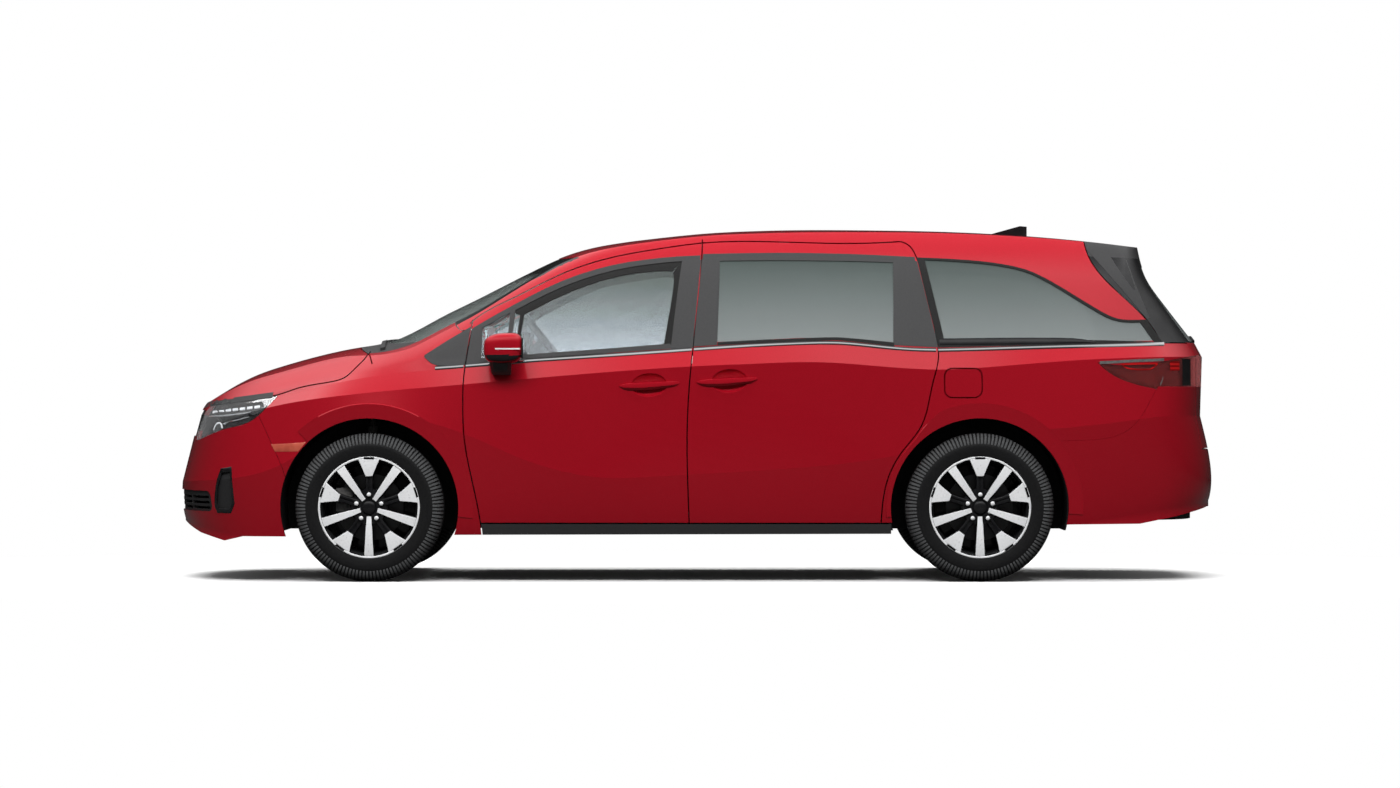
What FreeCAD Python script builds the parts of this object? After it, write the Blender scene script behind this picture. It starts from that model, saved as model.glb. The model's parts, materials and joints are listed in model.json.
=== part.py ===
import FreeCAD, Part
import math
import os
from FreeCAD import Vector

os.makedirs("parts", exist_ok=True)

# Minivan, millimetres. X runs from nose to tail, Z is up, the origin is on the ground mid-length.
# The nose points to -X, so the left side of the car is at -Y.

# Overall sizes, and overruns for cutting tools
HALF_WIDTH = 997
SKY = 2200
FAR = 3000
DEEP = 1300
OUTSIDE = -DEEP
INSIDE = -200
SEW = 0.01
NEAR = 0.5

# Gaps between panels, and depths under the outer skin
SHUT_GAP = 6
SPLIT = SHUT_GAP / 2
SEAM = 2
SEAT_GAP = 0.3
BEAD_GAP = 0.8
GLASS_DEPTH = 3
GLASS_THICK = 5
GLASS_BACK = GLASS_DEPTH + GLASS_THICK
WALL_LOW = 90
WALL_HIGH = 46
ROOF_THICK = 30
LID_THICK = 24
LAMP_DEEP = 60
COWL_DEEP = 50
FLAP_THICK = 8
POCKET_DEEP = 40
GRILLE_INSET = 8
EDGE_DEPTH = 12
EDGE_BACK = 18

# Where the side skin starts to wrap round the nose and the tail, and how full the corners are
WRAP_FRONT = -2050
WRAP_REAR = 2050
FULL_FRONT = 2.5
FULL_REAR = 3.4
NOSE_STEPS = 8
TAIL_STEPS = 7
STATIONS = 25

# Guide lines of the side skin, front to rear: (x, half width) and (x, height)
UNDER_Y = [(-2600, 850), (-2050, 905), (-1100, 922), (1400, 922), (2050, 905), (2600, 850)]
UNDER_Z = [(-2600, 300), (-2232, 225), (-1100, 235), (1100, 240), (1840, 281), (2500, 385), (2610, 390)]
UNDER_ENDS = (-2592, 2590)
LOW_Y = [(-2600, 870), (-2050, 935), (-1100, 950), (1400, 950), (2050, 935), (2600, 870)]
LOW_Z = [(-2600, 370), (-2050, 340), (-1100, 330), (1100, 335), (1840, 400), (2300, 470), (2610, 500)]
LOW_ENDS = (-2612, 2628)
FLARE_Y = [(-2600, 880), (-2050, 968), (-1604, 996), (-1200, 990), (-600, 985), (500, 988),
           (1000, 992), (1395, 996), (2050, 972), (2600, 890)]
FLARE_Z = [(-2600, 480), (-2050, 560), (-1602, 830), (-1370, 800), (-1140, 735), (-850, 600),
           (-500, 512), (-100, 525), (350, 550), (800, 590), (1190, 660), (1500, 725),
           (2050, 780), (2265, 812), (2600, 812)]
FLARE_ENDS = (-2606.5, 2545)
SHOULDER_Y = [(-2600, 850), (-2050, 940), (-1100, 974), (1400, 978), (2050, 945), (2600, 860)]
SHOULDER_Z = [(-2600, 700), (-2050, 870), (-1602, 930), (-1140, 970), (-466, 1028), (-38, 1058),
              (314, 1072), (600, 1082), (887, 1060), (1190, 1040), (1500, 1060), (1800, 1085),
              (2395, 1107), (2600, 1107)]
SHOULDER_ENDS = (-2545, 2556)
BELT_Y = [(-2600, 780), (-2050, 830), (-1602, 885), (-1275, 918), (-100, 935), (1400, 928),
          (2050, 890), (2600, 820)]
BELT_Z = [(-2600, 800), (-2050, 915), (-1602, 1010), (-1275, 1044), (-1137, 1063), (-840, 1087),
          (-18, 1140), (314, 1165), (686, 1187), (1032, 1150), (1190, 1144), (2395, 1172),
          (2600, 1180)]
BELT_ENDS = (-2520, 2520)
CANT_Y = [(-2600, 700), (-2050, 740), (-1602, 820), (-1370, 878), (-1140, 862), (-850, 826),
          (-500, 790), (-100, 768), (350, 760), (1190, 757), (2050, 735), (2600, 700)]
CANT_Z = [(-2600, 840), (-2050, 945), (-1602, 1060), (-1370, 1100), (-1140, 1225), (-850, 1390),
          (-500, 1530), (-100, 1608), (350, 1625), (1190, 1610), (1800, 1555), (2050, 1520),
          (2300, 1505), (2600, 1500)]
CANT_ENDS = (-2500, 2262)
RAIL_Y = [(-2600, 620), (-2050, 640), (-1602, 700), (-1370, 745), (-1140, 745), (-850, 725),
          (-500, 690), (-100, 668), (350, 658), (1190, 652), (2050, 636), (2600, 600)]
RAIL_Z = [(-2600, 860), (-2050, 1015), (-1602, 1135), (-1370, 1205), (-1140, 1318), (-850, 1478),
          (-500, 1630), (-100, 1700), (350, 1727), (800, 1732), (1190, 1726), (1800, 1694),
          (2050, 1668), (2300, 1650), (2600, 1645)]
RAIL_ENDS = (-2470, 2232)
RISE_SHARES = ((0.13, 0.035), (0.3, 0.06), (0.42, 0.3))

# Centre line of hood, windshield and roof: (x, height), and the drop at the rail of each station
RIDGE_Z = [(-2700, 800), (-2504, 862), (-2402, 930), (-2300, 992), (-2198, 1039), (-2095, 1071),
           (-1993, 1101), (-1891, 1127), (-1789, 1150), (-1687, 1168), (-1600, 1178),
           (-1500, 1212), (-1283, 1330), (-1075, 1430), (-940, 1500), (-766, 1585), (-690, 1620),
           (-562, 1661), (-358, 1697), (-153, 1721), (51, 1741), (358, 1755), (869, 1756),
           (1380, 1743), (1789, 1716), (2096, 1684), (2250, 1664), (2700, 1640)]
CROWN = [(-2700, 40), (-2400, 50), (-2050, 62), (-1700, 52), (-1600, 55), (-1370, 84), (-1140, 84),
         (-850, 68), (-500, 42), (-100, 33), (350, 34), (1190, 28), (2050, 24), (2700, 22)]
CROWN_AT = 690
RIDGE_STEPS = 61
CROWN_STEPS = 9

# Axles, wheels and tyres
FRONT_AXLE = -1604.5
REAR_AXLE = 1395.5
WHEEL_Y = 855
TYRE_RADIUS = 366
TYRE_WIDTH = 235
RIM_RADIUS = 228
FLANGE_RADIUS = 246
BARREL_RADIUS = 216
RIM_PLAY = 1
WHEEL_Z = TYRE_RADIUS
# Share of the way from rim to tread, and share of half the width
TYRE_SHARES = ((0, 0.796), (0.10, 0.932), (0.45, 1), (0.70, 0.949), (0.885, 0.83), (0.971, 0.643), (1, 0.362))
# Share of the way from barrel to flange, and share of half the tyre's width, from face to back
RIM_SHARES = ((0.4, 0.796), (1, 0.898), (1, 0.949), (0.667, 0.966), (0.2, 0.881), (0, 0.489), (-0.333, -0.66),
              (0, -0.915), (0.667, -0.966), (1, -0.949), (1, -0.898), (0.4, -0.796))
SPOKE_COUNT = 5
SPOKE_TURN = 270
SPOKE_START = 40
SPOKE_WAIST = 130
SPOKE_REACH = 226
SPOKE_RECESS = 4
SPOKE_HALF = 20
SPOKE_TIP = 15
SPOKE_DEEP = 26
LEG_HALF = 12
WEDGE_HALF = 34
WEDGE_DEEP = 20
HUB_INSET = 22
HUB_RADIUS = 84
HUB_RISE = 6
HUB_EDGE = 16
HUB_DEPTH = 40
LUG_CIRCLE = 60
LUG_RADIUS = 11
LUG_BACK = 10
LUG_FRONT = 2
CAP_RADIUS = 32
CAP_BACK = 8
CAP_FRONT = 3
HUB_FACE = WHEEL_Y + TYRE_WIDTH / 2 - HUB_INSET

# Brake disc, with a sleeve that turns on the stub axle
BELL_RADIUS = 80
DISC_RADIUS = 165
DISC_THICK = 22
DISC_BACK = 72
SLEEVE_RADIUS = 70
SLEEVE_END = 140
STUB_RADIUS = 30
STUB_PLAY = 0.5
STUB_SHORT = 3
STUB_ROOT = 730
DISC_ROOM = 6

# Steering knuckle and strut, on a steering axis that leans in at the top: (distance out, height)
PIN_LOW = (780, 225)
PIN_TOP = (630, 930)
UPRIGHT = (246, 520)
UPRIGHT_RADIUS = 34
DAMPER = (500, 760)
DAMPER_RADIUS = 24
PISTON = (740, 900)
PISTON_RADIUS = 12
CUP = (800, 935)
CUP_BORE = (780, 900.5)
CUP_RADIUS = 70
CUP_INNER = 40
KNUCKLE_PLATE = (-100, 60, 735, 790, -90, 100)
CALIPER = (-165, -85, 800, 905, -20, 95)
CALIPER_LINK = (-150, -80, 770, 830, 10, 60)
STRUT_SHELF = (-120, 120, 515, 760, 915, 930)
STRUT_LEG = (-120, 120, 500, 523, 813, 930)

# Wheel arches
ARCH_RADIUS = 438
ARCH_DEPTH = 515
LINER_THICK = 8
LINER_REACH = 500
LINER_LOW = 250
LINER_TOP = 1000

# Shut lines of the left side, in side view (x, z)
FENDER_LINE = [(-1103, 1290), (-1107, 1241), (-1136, 1045), (-1143, 874), (-1136, 707),
               (-1107, 536), (-1058, 288), (-1050, 200)]
DOOR_LINE = [(32, 1690), (30, 1609), (-14, 1145), (-38, 874), (-43, 651), (-33, 296), (-30, 200)]
SLIDE_LINE = [(1010, 1680), (1062, 1655), (1092, 1600), (1187, 1173), (1192, 1134), (1162, 977),
              (1103, 761), (1005, 631), (932, 472), (912, 320), (905, 200)]
UPPER_LINE = [(-1116, 1270), (-1100, 1285), (-903, 1398), (-659, 1520), (-416, 1600), (-171, 1645),
              (30, 1672), (300, 1680), (1010, 1680)]
SILL_FRONT = -1300
SILL_REAR = 1300
SILL_Z = 288
HOOD_LINE = [(-2640, 872), (-2500, 874), (-2375, 889), (-2200, 905), (-2064, 920), (-1974, 950),
             (-1797, 984), (-1731, 1006), (-1683, 1052), (-1640, 1100), (-1622, 1135)]
BUMPER_LINE = [(-2170, 850), (-2142, 800), (-2081, 673), (-2030, 560), (-2010, 400)]
REAR_BUMPER_LINE = [(1600, 640), (1710, 683), (2136, 756), (2200, 830), (2262, 940), (2275, 960)]
PILLAR_JOINT = [(-1107, 1241), (-1163, 1238), (-1197, 1283), (-1215, 1500)]
UNDERSIDE = [(-3000, 310), (-2600, 298), (-2463, 235), (-2330, 199), (-2232, 222), (-2030, 222),
             (-1300, 230), (1100, 236), (1841, 281), (2187, 284), (2371, 320), (2555, 361),
             (3000, 361)]
EDGE_RUN = 8

# Shut lines of the lids: the hood and the cowl in plan (x, y), the tailgate in side view and from behind
HOOD_REAR = [(-1700, 0), (-1694, -250), (-1668, -480), (-1622, -700), (-1600, -800)]
HEADER = [(-700, 0), (-685, -300), (-610, -560), (-540, -660), (-500, -720)]
COWL = [(-1560, 0), (-1548, -300), (-1475, -560), (-1385, -710), (-1340, -790)]
COWL_REAR = -1300
COWL_SIDE = -800
ROOF_PLAN = [(-1000, 0), (3000, 0), (3000, -572), (1930, -572), (-520, -600), (-1000, -600)]
GATE_LINE = [(1925, 1780), (1930, 1700), (1940, 1638), (2227, 1291), (2296, 1176)]
GATE_HALF = 655
GATE_TOP = 1176
GATE_FOOT = 650
GATE_NEAR = 2290
CABIN_FRONT = -1700
HOOD_LOW = 800
SHIELD_LOW = 900
ROOF_LOW = 1400
SPOILER = [(1900, 1800), (1900, 1610), (2120, 1600), (2300, 1596), (2300, 1800)]

# Windows of the left side, in side view
FRONT_WINDOW = [[(-1068, 1066), (-19, 1160)], [(-19, 1160), (14, 1605)],
                [(14, 1605), (-171, 1590), (-416, 1552), (-659, 1475), (-903, 1353), (-1060, 1264)],
                [(-1060, 1264), (-1068, 1066)]]
SLIDE_WINDOW = [[(62, 1178), (256, 1186), (643, 1200), (760, 1196), (959, 1172), (1118, 1164)],
                [(1118, 1164), (1030, 1580)], [(1030, 1580), (102, 1596)], [(102, 1596), (62, 1178)]]
QUARTER_WINDOW = [[(1222, 1172), (2262, 1186)], [(2262, 1186), (2205, 1284)],
                  [(2205, 1284), (2113, 1284), (2030, 1306), (1929, 1366), (1760, 1470),
                   (1628, 1532), (1461, 1566), (1260, 1583), (1122, 1591)],
                  [(1122, 1591), (1222, 1172)]]
SAIL = [[(-1290, 1110), (-1270, 1060)], [(-1270, 1060), (-1150, 1066)], [(-1150, 1066), (-1124, 1224)],
        [(-1124, 1224), (-1290, 1110)]]
REAR_WINDOW = [[(-600, 1186), (600, 1186)], [(600, 1186), (575, 1380), (548, 1560)],
               [(548, 1560), (-548, 1560)], [(-548, 1560), (-575, 1380), (-600, 1186)]]
REAR_WINDOW_NEAR = 2120

# Lamps, in side view, and how near to the centre plane they reach
HEADLAMP = [[(-2640, 940), (-2070, 940)], [(-2070, 940), (-2066, 910)],
            [(-2066, 910), (-2145, 822), (-2186, 791), (-2340, 746), (-2460, 702), (-2640, 690)],
            [(-2640, 690), (-2640, 940)]]
LAMP_HALF = 470
TAIL_LAMP = [[(1971, 1080), (2096, 992), (2297, 940), (2431, 908), (2640, 890)],
             [(2640, 890), (2640, 1125)], [(2640, 1125), (2446, 1109), (2348, 1092), (1971, 1080)]]
LAMP_INNER = 410

# Bumper openings: (half width, foot, top, corner), and the slots between the grille's slats
GRILLE_BACK = -2300
UPPER_MOUTH = (470, 712, 842, 26)
LOWER_MOUTH = (770, 342, 444, 30)
SLOT_TALL = 14
SLOT_PITCH = 26
SLOT_EDGE = 12
SLOT_SHARES = ((-0.965, -0.74), (-0.725, -0.5), (-0.485, -0.255), (-0.24, -0.015), (0.015, 0.24), (0.255, 0.485),
               (0.5, 0.725), (0.74, 0.965))
INTAKE = [[(-2346, 555), (-2288, 565)], [(-2288, 565), (-2283, 487), (-2273, 379)], [(-2273, 379), (-2292, 335)],
          [(-2292, 335), (-2366, 335)], [(-2366, 335), (-2380, 369)], [(-2380, 369), (-2370, 480), (-2346, 555)]]
INTAKE_HALF = 690
INTAKE_DEPTH = 10

# Fuel flap in the left quarter: (front, rear, foot, top), and the stop that it rests on
FUEL = (1217, 1407, 902, 1052)
FUEL_RADIUS = 42
FUEL_IN = -600
STOP_X = 1378
STOP_Z = 977
STOP_ROOT = -900
STOP_RADIUS = 9

# A point inside each panel, to tell the cut pieces apart
FRONT_DOOR_SPOT = (-567, -960, 700)
SLIDE_DOOR_SPOT = (520, -960, 813)
QUARTER_SPOT = (1600, -940, 900)
GATE_SPOT = (2545, -300, 900)
HOOD_SPOT = (-2000, -200, 1085)
BUMPER_SPOT = (-2602, -100, 480)
FENDER_SPOT = (-1250, -965, 800)
COWL_SPOT = (-1560, -200, 1170)
REAR_BUMPER_SPOT = (2590, -100, 500)
FRAME_SPOT = (1500, -950, 1080)
TAIL_LAMP_SPOT = (2250, -900, 1040)
GATE_LAMP_SPOT = (2500, -500, 1040)

# Mirrors and handles
MIRROR_HEAD = (-1034, -850, -1131, -960, 1066, 1225)
MIRROR_ROUND = 58
MIRROR_FOOT = (-1010, -900, -1000, -925, 1020, 1085)
MIRROR_FOOT_ROUND = 14
FRONT_HANDLE = (-376, -73, 955, 989)
FRONT_HANDLE_Y = 985
SLIDE_HANDLE = (1, 305, 977, 1011)
SLIDE_HANDLE_Y = 990
HANDLE_PROUD = 16
HANDLE_BACK = 2
HANDLE_ROUND = 6
POST_IN = 12
POST_LONG = 24
POST_DEEP = 40

# Floor, bulkhead and rails: heights of the floor's lower side, and its thickness
FLOOR_HALF = 880
FLOOR_LOW = 262
FLOOR_THICK = 28
SILL_STEP = 980
STEP_RUN = 30
SHELF_LOW = 430
SHELF_THICK = 26
SHELF_REAR = 1740
WELL_LOW = 300
FLOOR_REAR = 2440
BULKHEAD_X = -1330
BULKHEAD_THICK = 30
BULKHEAD_HALF = 760
BULKHEAD_TOP = 1080
RAIL = (-2400, -1330, -470, -400, 420, 500)
SILL_RAIL = (-1150, 905, -880, -815, 262, 330)
REAR_SILL = (2400, 3000, -600, 0, 300, 700)
SILL_TRIM_FRONT = -1166
SILL_TRIM_REAR = 960
SILL_TRIM_TOP = 284
SILL_TRIM_END = [(-1300, 300), (-1156, 300), (-1166, 200), (-1300, 100)]

# Engine bay, subframe and rear axle
ENGINE = (-2330, -1760, -360, 380, 330, 900)
RADIATOR = (-2440, -2410, -450, 0, 330, 840)
RADIATOR_FEET = ((-2420, -2400, -470, -400, 420, 500), (-2420, -2400, 400, 470, 420, 500))
HOOD_STOP = (-2425, 150, 800, 1000)
HOOD_STOP_RADIUS = 11
SUBFRAME = (-1900, -1380, -420, 420, 250, 330)
SUBFRAME_LEG = 40
SUBFRAME_LEG_TOP = 420
SUBFRAME_LEG_Y = 400
ARM_RADIUS = 22
ARM_INNER = (400, 262)
ARM_OUTER = (786, 206)
ARM_ROOM = (-60, 60, -600, -400, 200, 330)
BEAM = (-60, 60, -700, 700, 300, 380)
BEAM_ROOM = (-62, 62, -600, -400, 200, 382)
BEAM_STUB_ROOT = 690
TRAILING_FRONT = 970
TRAILING_HALF = 30
TRAILING_Y = 455
TRAILING_LOW = 296
TRAILING_TOP = 350
STRUT_ROOM = (760, 945)
STRUT_ROOM_RADIUS = 70.3

# Dashboard, steering wheel and console
DASH_LINE = [[(-1330, 800), (-1330, 1120)], [(-1330, 1120), (-1200, 1150), (-1000, 1160), (-905, 1130)],
             [(-905, 1130), (-880, 1050), (-960, 880), (-1010, 760)], [(-1010, 760), (-1330, 800)]]
DASH_HALF = 790
HOODLET_LINE = [[(-960, 1130), (-860, 1236)], [(-860, 1236), (-826, 1225)], [(-826, 1225), (-850, 1060)],
                [(-850, 1060), (-960, 1130)]]
HOODLET_SIDES = (-540, -240)
COLUMN_FOOT = Vector(-900, -390, 1060)
COLUMN_TOP = Vector(-752, -390, 1180)
COLUMN_RADIUS = 34
COLUMN_BELOW = 60
COLUMN_SHORT = 30
WHEEL_RING = 182
WHEEL_GRIP = 16
WHEEL_HUB = 45
WHEEL_HUB_RISE = 6
WHEEL_HUB_FOOT = 29.5
WHEEL_SPOKE = 13
CONSOLE = (-1000, -300, -130, 130, 290, 640)
CONSOLE_ROUND = 30

# Seats, from the point where the cushion meets the backrest
CUSHION = (-500, 20, 470, 610)
SEAT_BASE = (-420, -40, 290, 480)
SEAT_BASE_IN = 70
BACKREST = (-60, 70, 560, 1220)
BACKREST_TILT = 14
HEADREST = (130, 225, 1230, 1410)
HEADREST_HALF = 135
NECK = (150, 180, 1160, 1260)
NECK_HALF = 60
FRONT_SEAT_X = -240
MIDDLE_SEAT_X = 640
SEAT_Y = 390
SEAT_WIDTH = 520
BENCH_X = 1500
BENCH_Y = 250
BENCH_WIDTH = 500
BENCH_ROOM = (900, 1800, -900, 900, 200, 456)

# Wipers and roof fin
WIPER_RISE = 14
WIPER_WIDTH = 22
WIPER_LINES = ([(-1560, -620), (-1585, -60)], [(-1590, -20), (-1470, -560)])
WIPER_LOW = 1100
WIPER_TOP = 1400
REAR_WIPER_LINE = [(-10, 1178), (-330, 1204)]
FIN_LINE = [[(1500, 1738), (1655, 1781)], [(1655, 1781), (1690, 1778)], [(1690, 1778), (1690, 1718)],
            [(1690, 1718), (1500, 1738)]]
FIN_HALF = 14


# Plain geometry helpers
def smooth(points):
    """A smooth function through the given pairs."""
    xs = [p[0] for p in points]
    ys = [p[1] for p in points]
    last = len(xs) - 1
    rises = [(ys[i + 1] - ys[i]) / (xs[i + 1] - xs[i]) for i in range(last)]
    slopes = [rises[0]]
    for i in range(1, last):
        before = xs[i] - xs[i - 1]
        after = xs[i + 1] - xs[i]
        slopes.append((rises[i - 1] * after + rises[i] * before) / (before + after))
    slopes.append(rises[-1])

    def value(x):
        x = min(max(x, xs[0]), xs[-1])
        i = 0
        while i < last - 1 and x > xs[i + 1]:
            i += 1
        h = xs[i + 1] - xs[i]
        t = (x - xs[i]) / h
        rest = 1 - t
        return (ys[i] * rest * rest * (1 + 2 * t) + ys[i + 1] * t * t * (1 + 2 * rest)
                + h * t * rest * (slopes[i] * rest - slopes[i + 1] * t))
    return value


def knots(count, degree):
    spans = count - degree
    return ([float(i) for i in range(spans + 1)],
            [degree + 1] + [1] * (spans - 1) + [degree + 1])


def spline_surface(rows):
    degree = min(3, len(rows) - 1)
    ku, mu = knots(len(rows), degree)
    kv, mv = knots(len(rows[0]), 3)
    surface = Part.BSplineSurface()
    surface.buildFromPolesMultsKnots(rows, mu, mv, ku, kv, False, False, degree, 3)
    return surface.toShape()


def spline_edge(row):
    k, m = knots(len(row), 3)
    curve = Part.BSplineCurve()
    curve.buildFromPolesMultsKnots(row, m, k, False, 3)
    return curve.toShape()


def flip(row):
    return [Vector(p.x, -p.y, p.z) for p in row]


def mix(one, two, share):
    return [p + (q - p) * share for p, q in zip(one, two)]


def guide(widths, heights, ends, depth):
    """One line of poles from the nose, along the left side, to the tail."""
    wide = smooth(widths)
    high = smooth(heights)
    nose = ends[0] + depth
    tail = ends[1] - depth
    pts = []
    for k in range(NOSE_STEPS + 1):
        angle = (1 - k / NOSE_STEPS) * math.pi / 2
        x = WRAP_FRONT + (nose - WRAP_FRONT) * math.sin(angle) ** (2 / FULL_FRONT)
        y = (wide(x) - depth) * math.cos(angle) ** (2 / FULL_FRONT)
        if k < 2:
            x = nose
        if k == 0:
            y = 0
        pts.append(Vector(x, -y, high(x - depth)))
    for k in range(1, STATIONS):
        x = WRAP_FRONT + (WRAP_REAR - WRAP_FRONT) * k / (STATIONS - 1)
        pts.append(Vector(x, depth - wide(x), high(x)))
    for k in range(1, TAIL_STEPS + 1):
        angle = k / TAIL_STEPS * math.pi / 2
        x = WRAP_REAR + (tail - WRAP_REAR) * math.sin(angle) ** (2 / FULL_REAR)
        y = (wide(x) - depth) * math.cos(angle) ** (2 / FULL_REAR)
        if k > TAIL_STEPS - 2:
            x = tail
        if k == TAIL_STEPS:
            y = 0
        pts.append(Vector(x, -y, high(x + depth)))
    return pts


def tube(low, high):
    """The upright skin of the body, all round, at the given depths under the outer skin."""
    chin = guide(LOW_Y, LOW_Z, LOW_ENDS, low)
    g = [guide(UNDER_Y, UNDER_Z, UNDER_ENDS, low), guide(FLARE_Y, FLARE_Z, FLARE_ENDS, low),
         guide(SHOULDER_Y, SHOULDER_Z, SHOULDER_ENDS, low),
         guide(BELT_Y, BELT_Z, BELT_ENDS, (low + high) / 2),
         guide(CANT_Y, CANT_Z, CANT_ENDS, high), guide(RAIL_Y, RAIL_Z, RAIL_ENDS, high)]
    foot = [Vector(p.x, p.y, 0) for p in g[0]]
    above = []
    for inward, up in RISE_SHARES:
        above.append([Vector(p.x, p.y * (1 - inward), p.z + HALF_WIDTH * up) for p in g[5]])
    top = [Vector(p.x, p.y, SKY) for p in above[-1]]
    patches = [[foot, g[0]],
               [g[0], chin, mix(chin, g[1], 1 / 2), g[1]],
               [g[1], mix(g[1], g[2], 1 / 3), mix(g[1], g[2], 2 / 3), g[2]],
               [g[2], g[3]],
               [g[3], mix(g[3], g[4], 1 / 3), mix(g[3], g[4], 2 / 3), g[4], g[5]] + above,
               [above[-1], top]]
    faces = []
    for rows in patches:
        faces.append(spline_surface(rows))
        faces.append(spline_surface([flip(r) for r in rows]))
    for row in (foot, top):
        faces.append(Part.Face(Part.Wire([spline_edge(row), spline_edge(flip(row))])))
    skin = Part.Compound(faces)
    skin.sewShape(SEW)
    return Part.Solid(skin.Shells[0])


def below_ridge(depth):
    """Everything under the hood, windshield and roof surface, lowered by the given depth."""
    high = smooth(RIDGE_Z)
    drop = smooth(CROWN)
    rows = []
    for j in range(CROWN_STEPS):
        y = HALF_WIDTH * (2 * j / (CROWN_STEPS - 1) - 1)
        share = (y / CROWN_AT) ** 2
        row = []
        for i in range(RIDGE_STEPS):
            x = FAR * (2 * i / (RIDGE_STEPS - 1) - 1)
            row.append(Vector(x, y, high(x) - drop(x) * share - depth))
        rows.append(row)
    return spline_surface(rows).extrude(Vector(0, 0, -SKY - SKY))


def body_form(low, high, top):
    """The left half of the body's form, at the given depths under the outer skin."""
    half = Part.makeBox(2 * FAR, DEEP, SKY, Vector(-FAR, -DEEP, 0))
    return tube(low, high).common(half).common(below_ridge(top))


def wire_of(runs, plane):
    """A closed outline from runs of points; a run of three or more points is a smooth curve."""
    edges = []
    for run in runs:
        pts = [plane(p) for p in run]
        if len(pts) == 2:
            edges.append(Part.LineSegment(pts[0], pts[1]).toShape())
        else:
            curve = Part.BSplineCurve()
            curve.interpolate(pts)
            edges.append(curve.toShape())
    return Part.Wire(edges)


def side_plate(runs, near, far):
    """A side-view outline as a solid between two Y planes."""
    wire = wire_of(runs, lambda p: Vector(p[0], near, p[1]))
    return Part.Face(wire).extrude(Vector(0, far - near, 0))


def plan_plate(runs, low, high):
    wire = wire_of(runs, lambda p: Vector(p[0], p[1], low))
    return Part.Face(wire).extrude(Vector(0, 0, high - low))


def rear_plate(runs, near, far):
    wire = wire_of(runs, lambda p: Vector(near, p[0], p[1]))
    return Part.Face(wire).extrude(Vector(far - near, 0, 0))


def poly(points):
    """Runs of straight lines round a list of corners."""
    return [[points[i], points[(i + 1) % len(points)]] for i in range(len(points))]


def ribbon(line, gap):
    """A thin outline that follows a line, as wide as the gap."""
    one = []
    two = []
    last = len(line) - 1
    for i, p in enumerate(line):
        a = line[max(i - 1, 0)]
        b = line[min(i + 1, last)]
        dx = b[0] - a[0]
        dz = b[1] - a[1]
        size = math.hypot(dx, dz)
        one.append((p[0] - dz / size * gap / 2, p[1] + dx / size * gap / 2))
        two.append((p[0] + dz / size * gap / 2, p[1] - dx / size * gap / 2))
    two.reverse()
    return [one, [one[-1], two[0]], two, [two[-1], one[0]]]


def straight_bar(line, gap):
    """The outline of a straight bar from one point to another."""
    (x0, y0), (x1, y1) = line
    size = math.hypot(x1 - x0, y1 - y0)
    ox = (y1 - y0) / size * gap / 2
    oy = (x0 - x1) / size * gap / 2
    return poly([(x0 + ox, y0 + oy), (x1 + ox, y1 + oy), (x1 - ox, y1 - oy), (x0 - ox, y0 - oy)])


def box(x0, x1, y0, y1, z0, z1):
    return Part.makeBox(x1 - x0, y1 - y0, z1 - z0, Vector(x0, y0, z0))


def mirror(shape):
    return shape.mirror(Vector(0, 0, 0), Vector(0, 1, 0))


def lathe(profile, centre):
    """A ring from (radius, y) pairs, turned about a Y axis through the centre."""
    pts = [Vector(centre.x + r, centre.y + y, centre.z) for r, y in profile]
    wire = Part.makePolygon(pts + [pts[0]])
    return Part.Face(wire).revolve(centre, Vector(0, 1, 0), 360)


def rod(a, b, radius):
    return Part.makeCylinder(radius, (b - a).Length, a, b - a)


def rounded_box(x0, x1, y0, y1, z0, z1, radius):
    body = box(x0, x1, y0, y1, z0, z1)
    return body.makeFillet(radius, body.Edges)


def side_box(side, x0, x1, near, far, z0, z1):
    """A box between two distances from the centre plane, on the left (-1) or the right (1)."""
    return box(x0, x1, min(side * near, side * far), max(side * near, side * far), z0, z1)


def rounded_side(x0, x1, z0, z1, radius, near, far):
    """A block with rounded corners in side view."""
    body = box(x0, x1, near, far, z0, z1)
    edges = [e for e in body.Edges if abs(e.Vertexes[0].Point.y - e.Vertexes[1].Point.y) > SEAM]
    return body.makeFillet(radius, edges)


def rounded_front(y0, y1, z0, z1, radius, near, far):
    """A block with rounded corners in front view."""
    body = box(near, far, y0, y1, z0, z1)
    edges = [e for e in body.Edges if abs(e.Vertexes[0].Point.x - e.Vertexes[1].Point.x) > SEAM]
    return body.makeFillet(radius, edges)


def whole(half):
    """A half and its mirror image, joined on the centre plane."""
    return half.fuse(mirror(half)).removeSplitter()


def pick(pieces, spot):
    """The piece of a cut skin that holds the given point, or else lies nearest to it."""
    spot = Vector(*spot)
    best = None
    for s in pieces:
        if s.isInside(spot, NEAR, True):
            return s
        away = s.distToShape(Part.Vertex(spot))[0]
        if best is None or away < best[0]:
            best = (away, s)
    return best[1]


def largest(shape):
    return max(shape.Solids, key=lambda s: s.Volume)


def save(name, shape):
    solids = [s for s in shape.Solids]
    good = all(s.isValid() for s in solids)
    out = solids[0] if len(solids) == 1 else Part.Compound(solids)
    out.exportStep("parts/" + name + ".step")
    b = out.BoundBox
    volume = sum(s.Volume for s in solids)
    print(name, len(solids), "ok" if good else "BAD", round(volume / 1e6, 2), "l",
          [round(v) for v in (b.XMin, b.XMax, b.YMin, b.YMax, b.ZMin, b.ZMax)])


def save_pair(name, shape):
    save(name + "_left", shape)
    save(name + "_right", mirror(shape))


def save_both(name, shape):
    """Both sides' pieces in one node."""
    save(name, Part.Compound([shape, mirror(shape)]))


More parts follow.
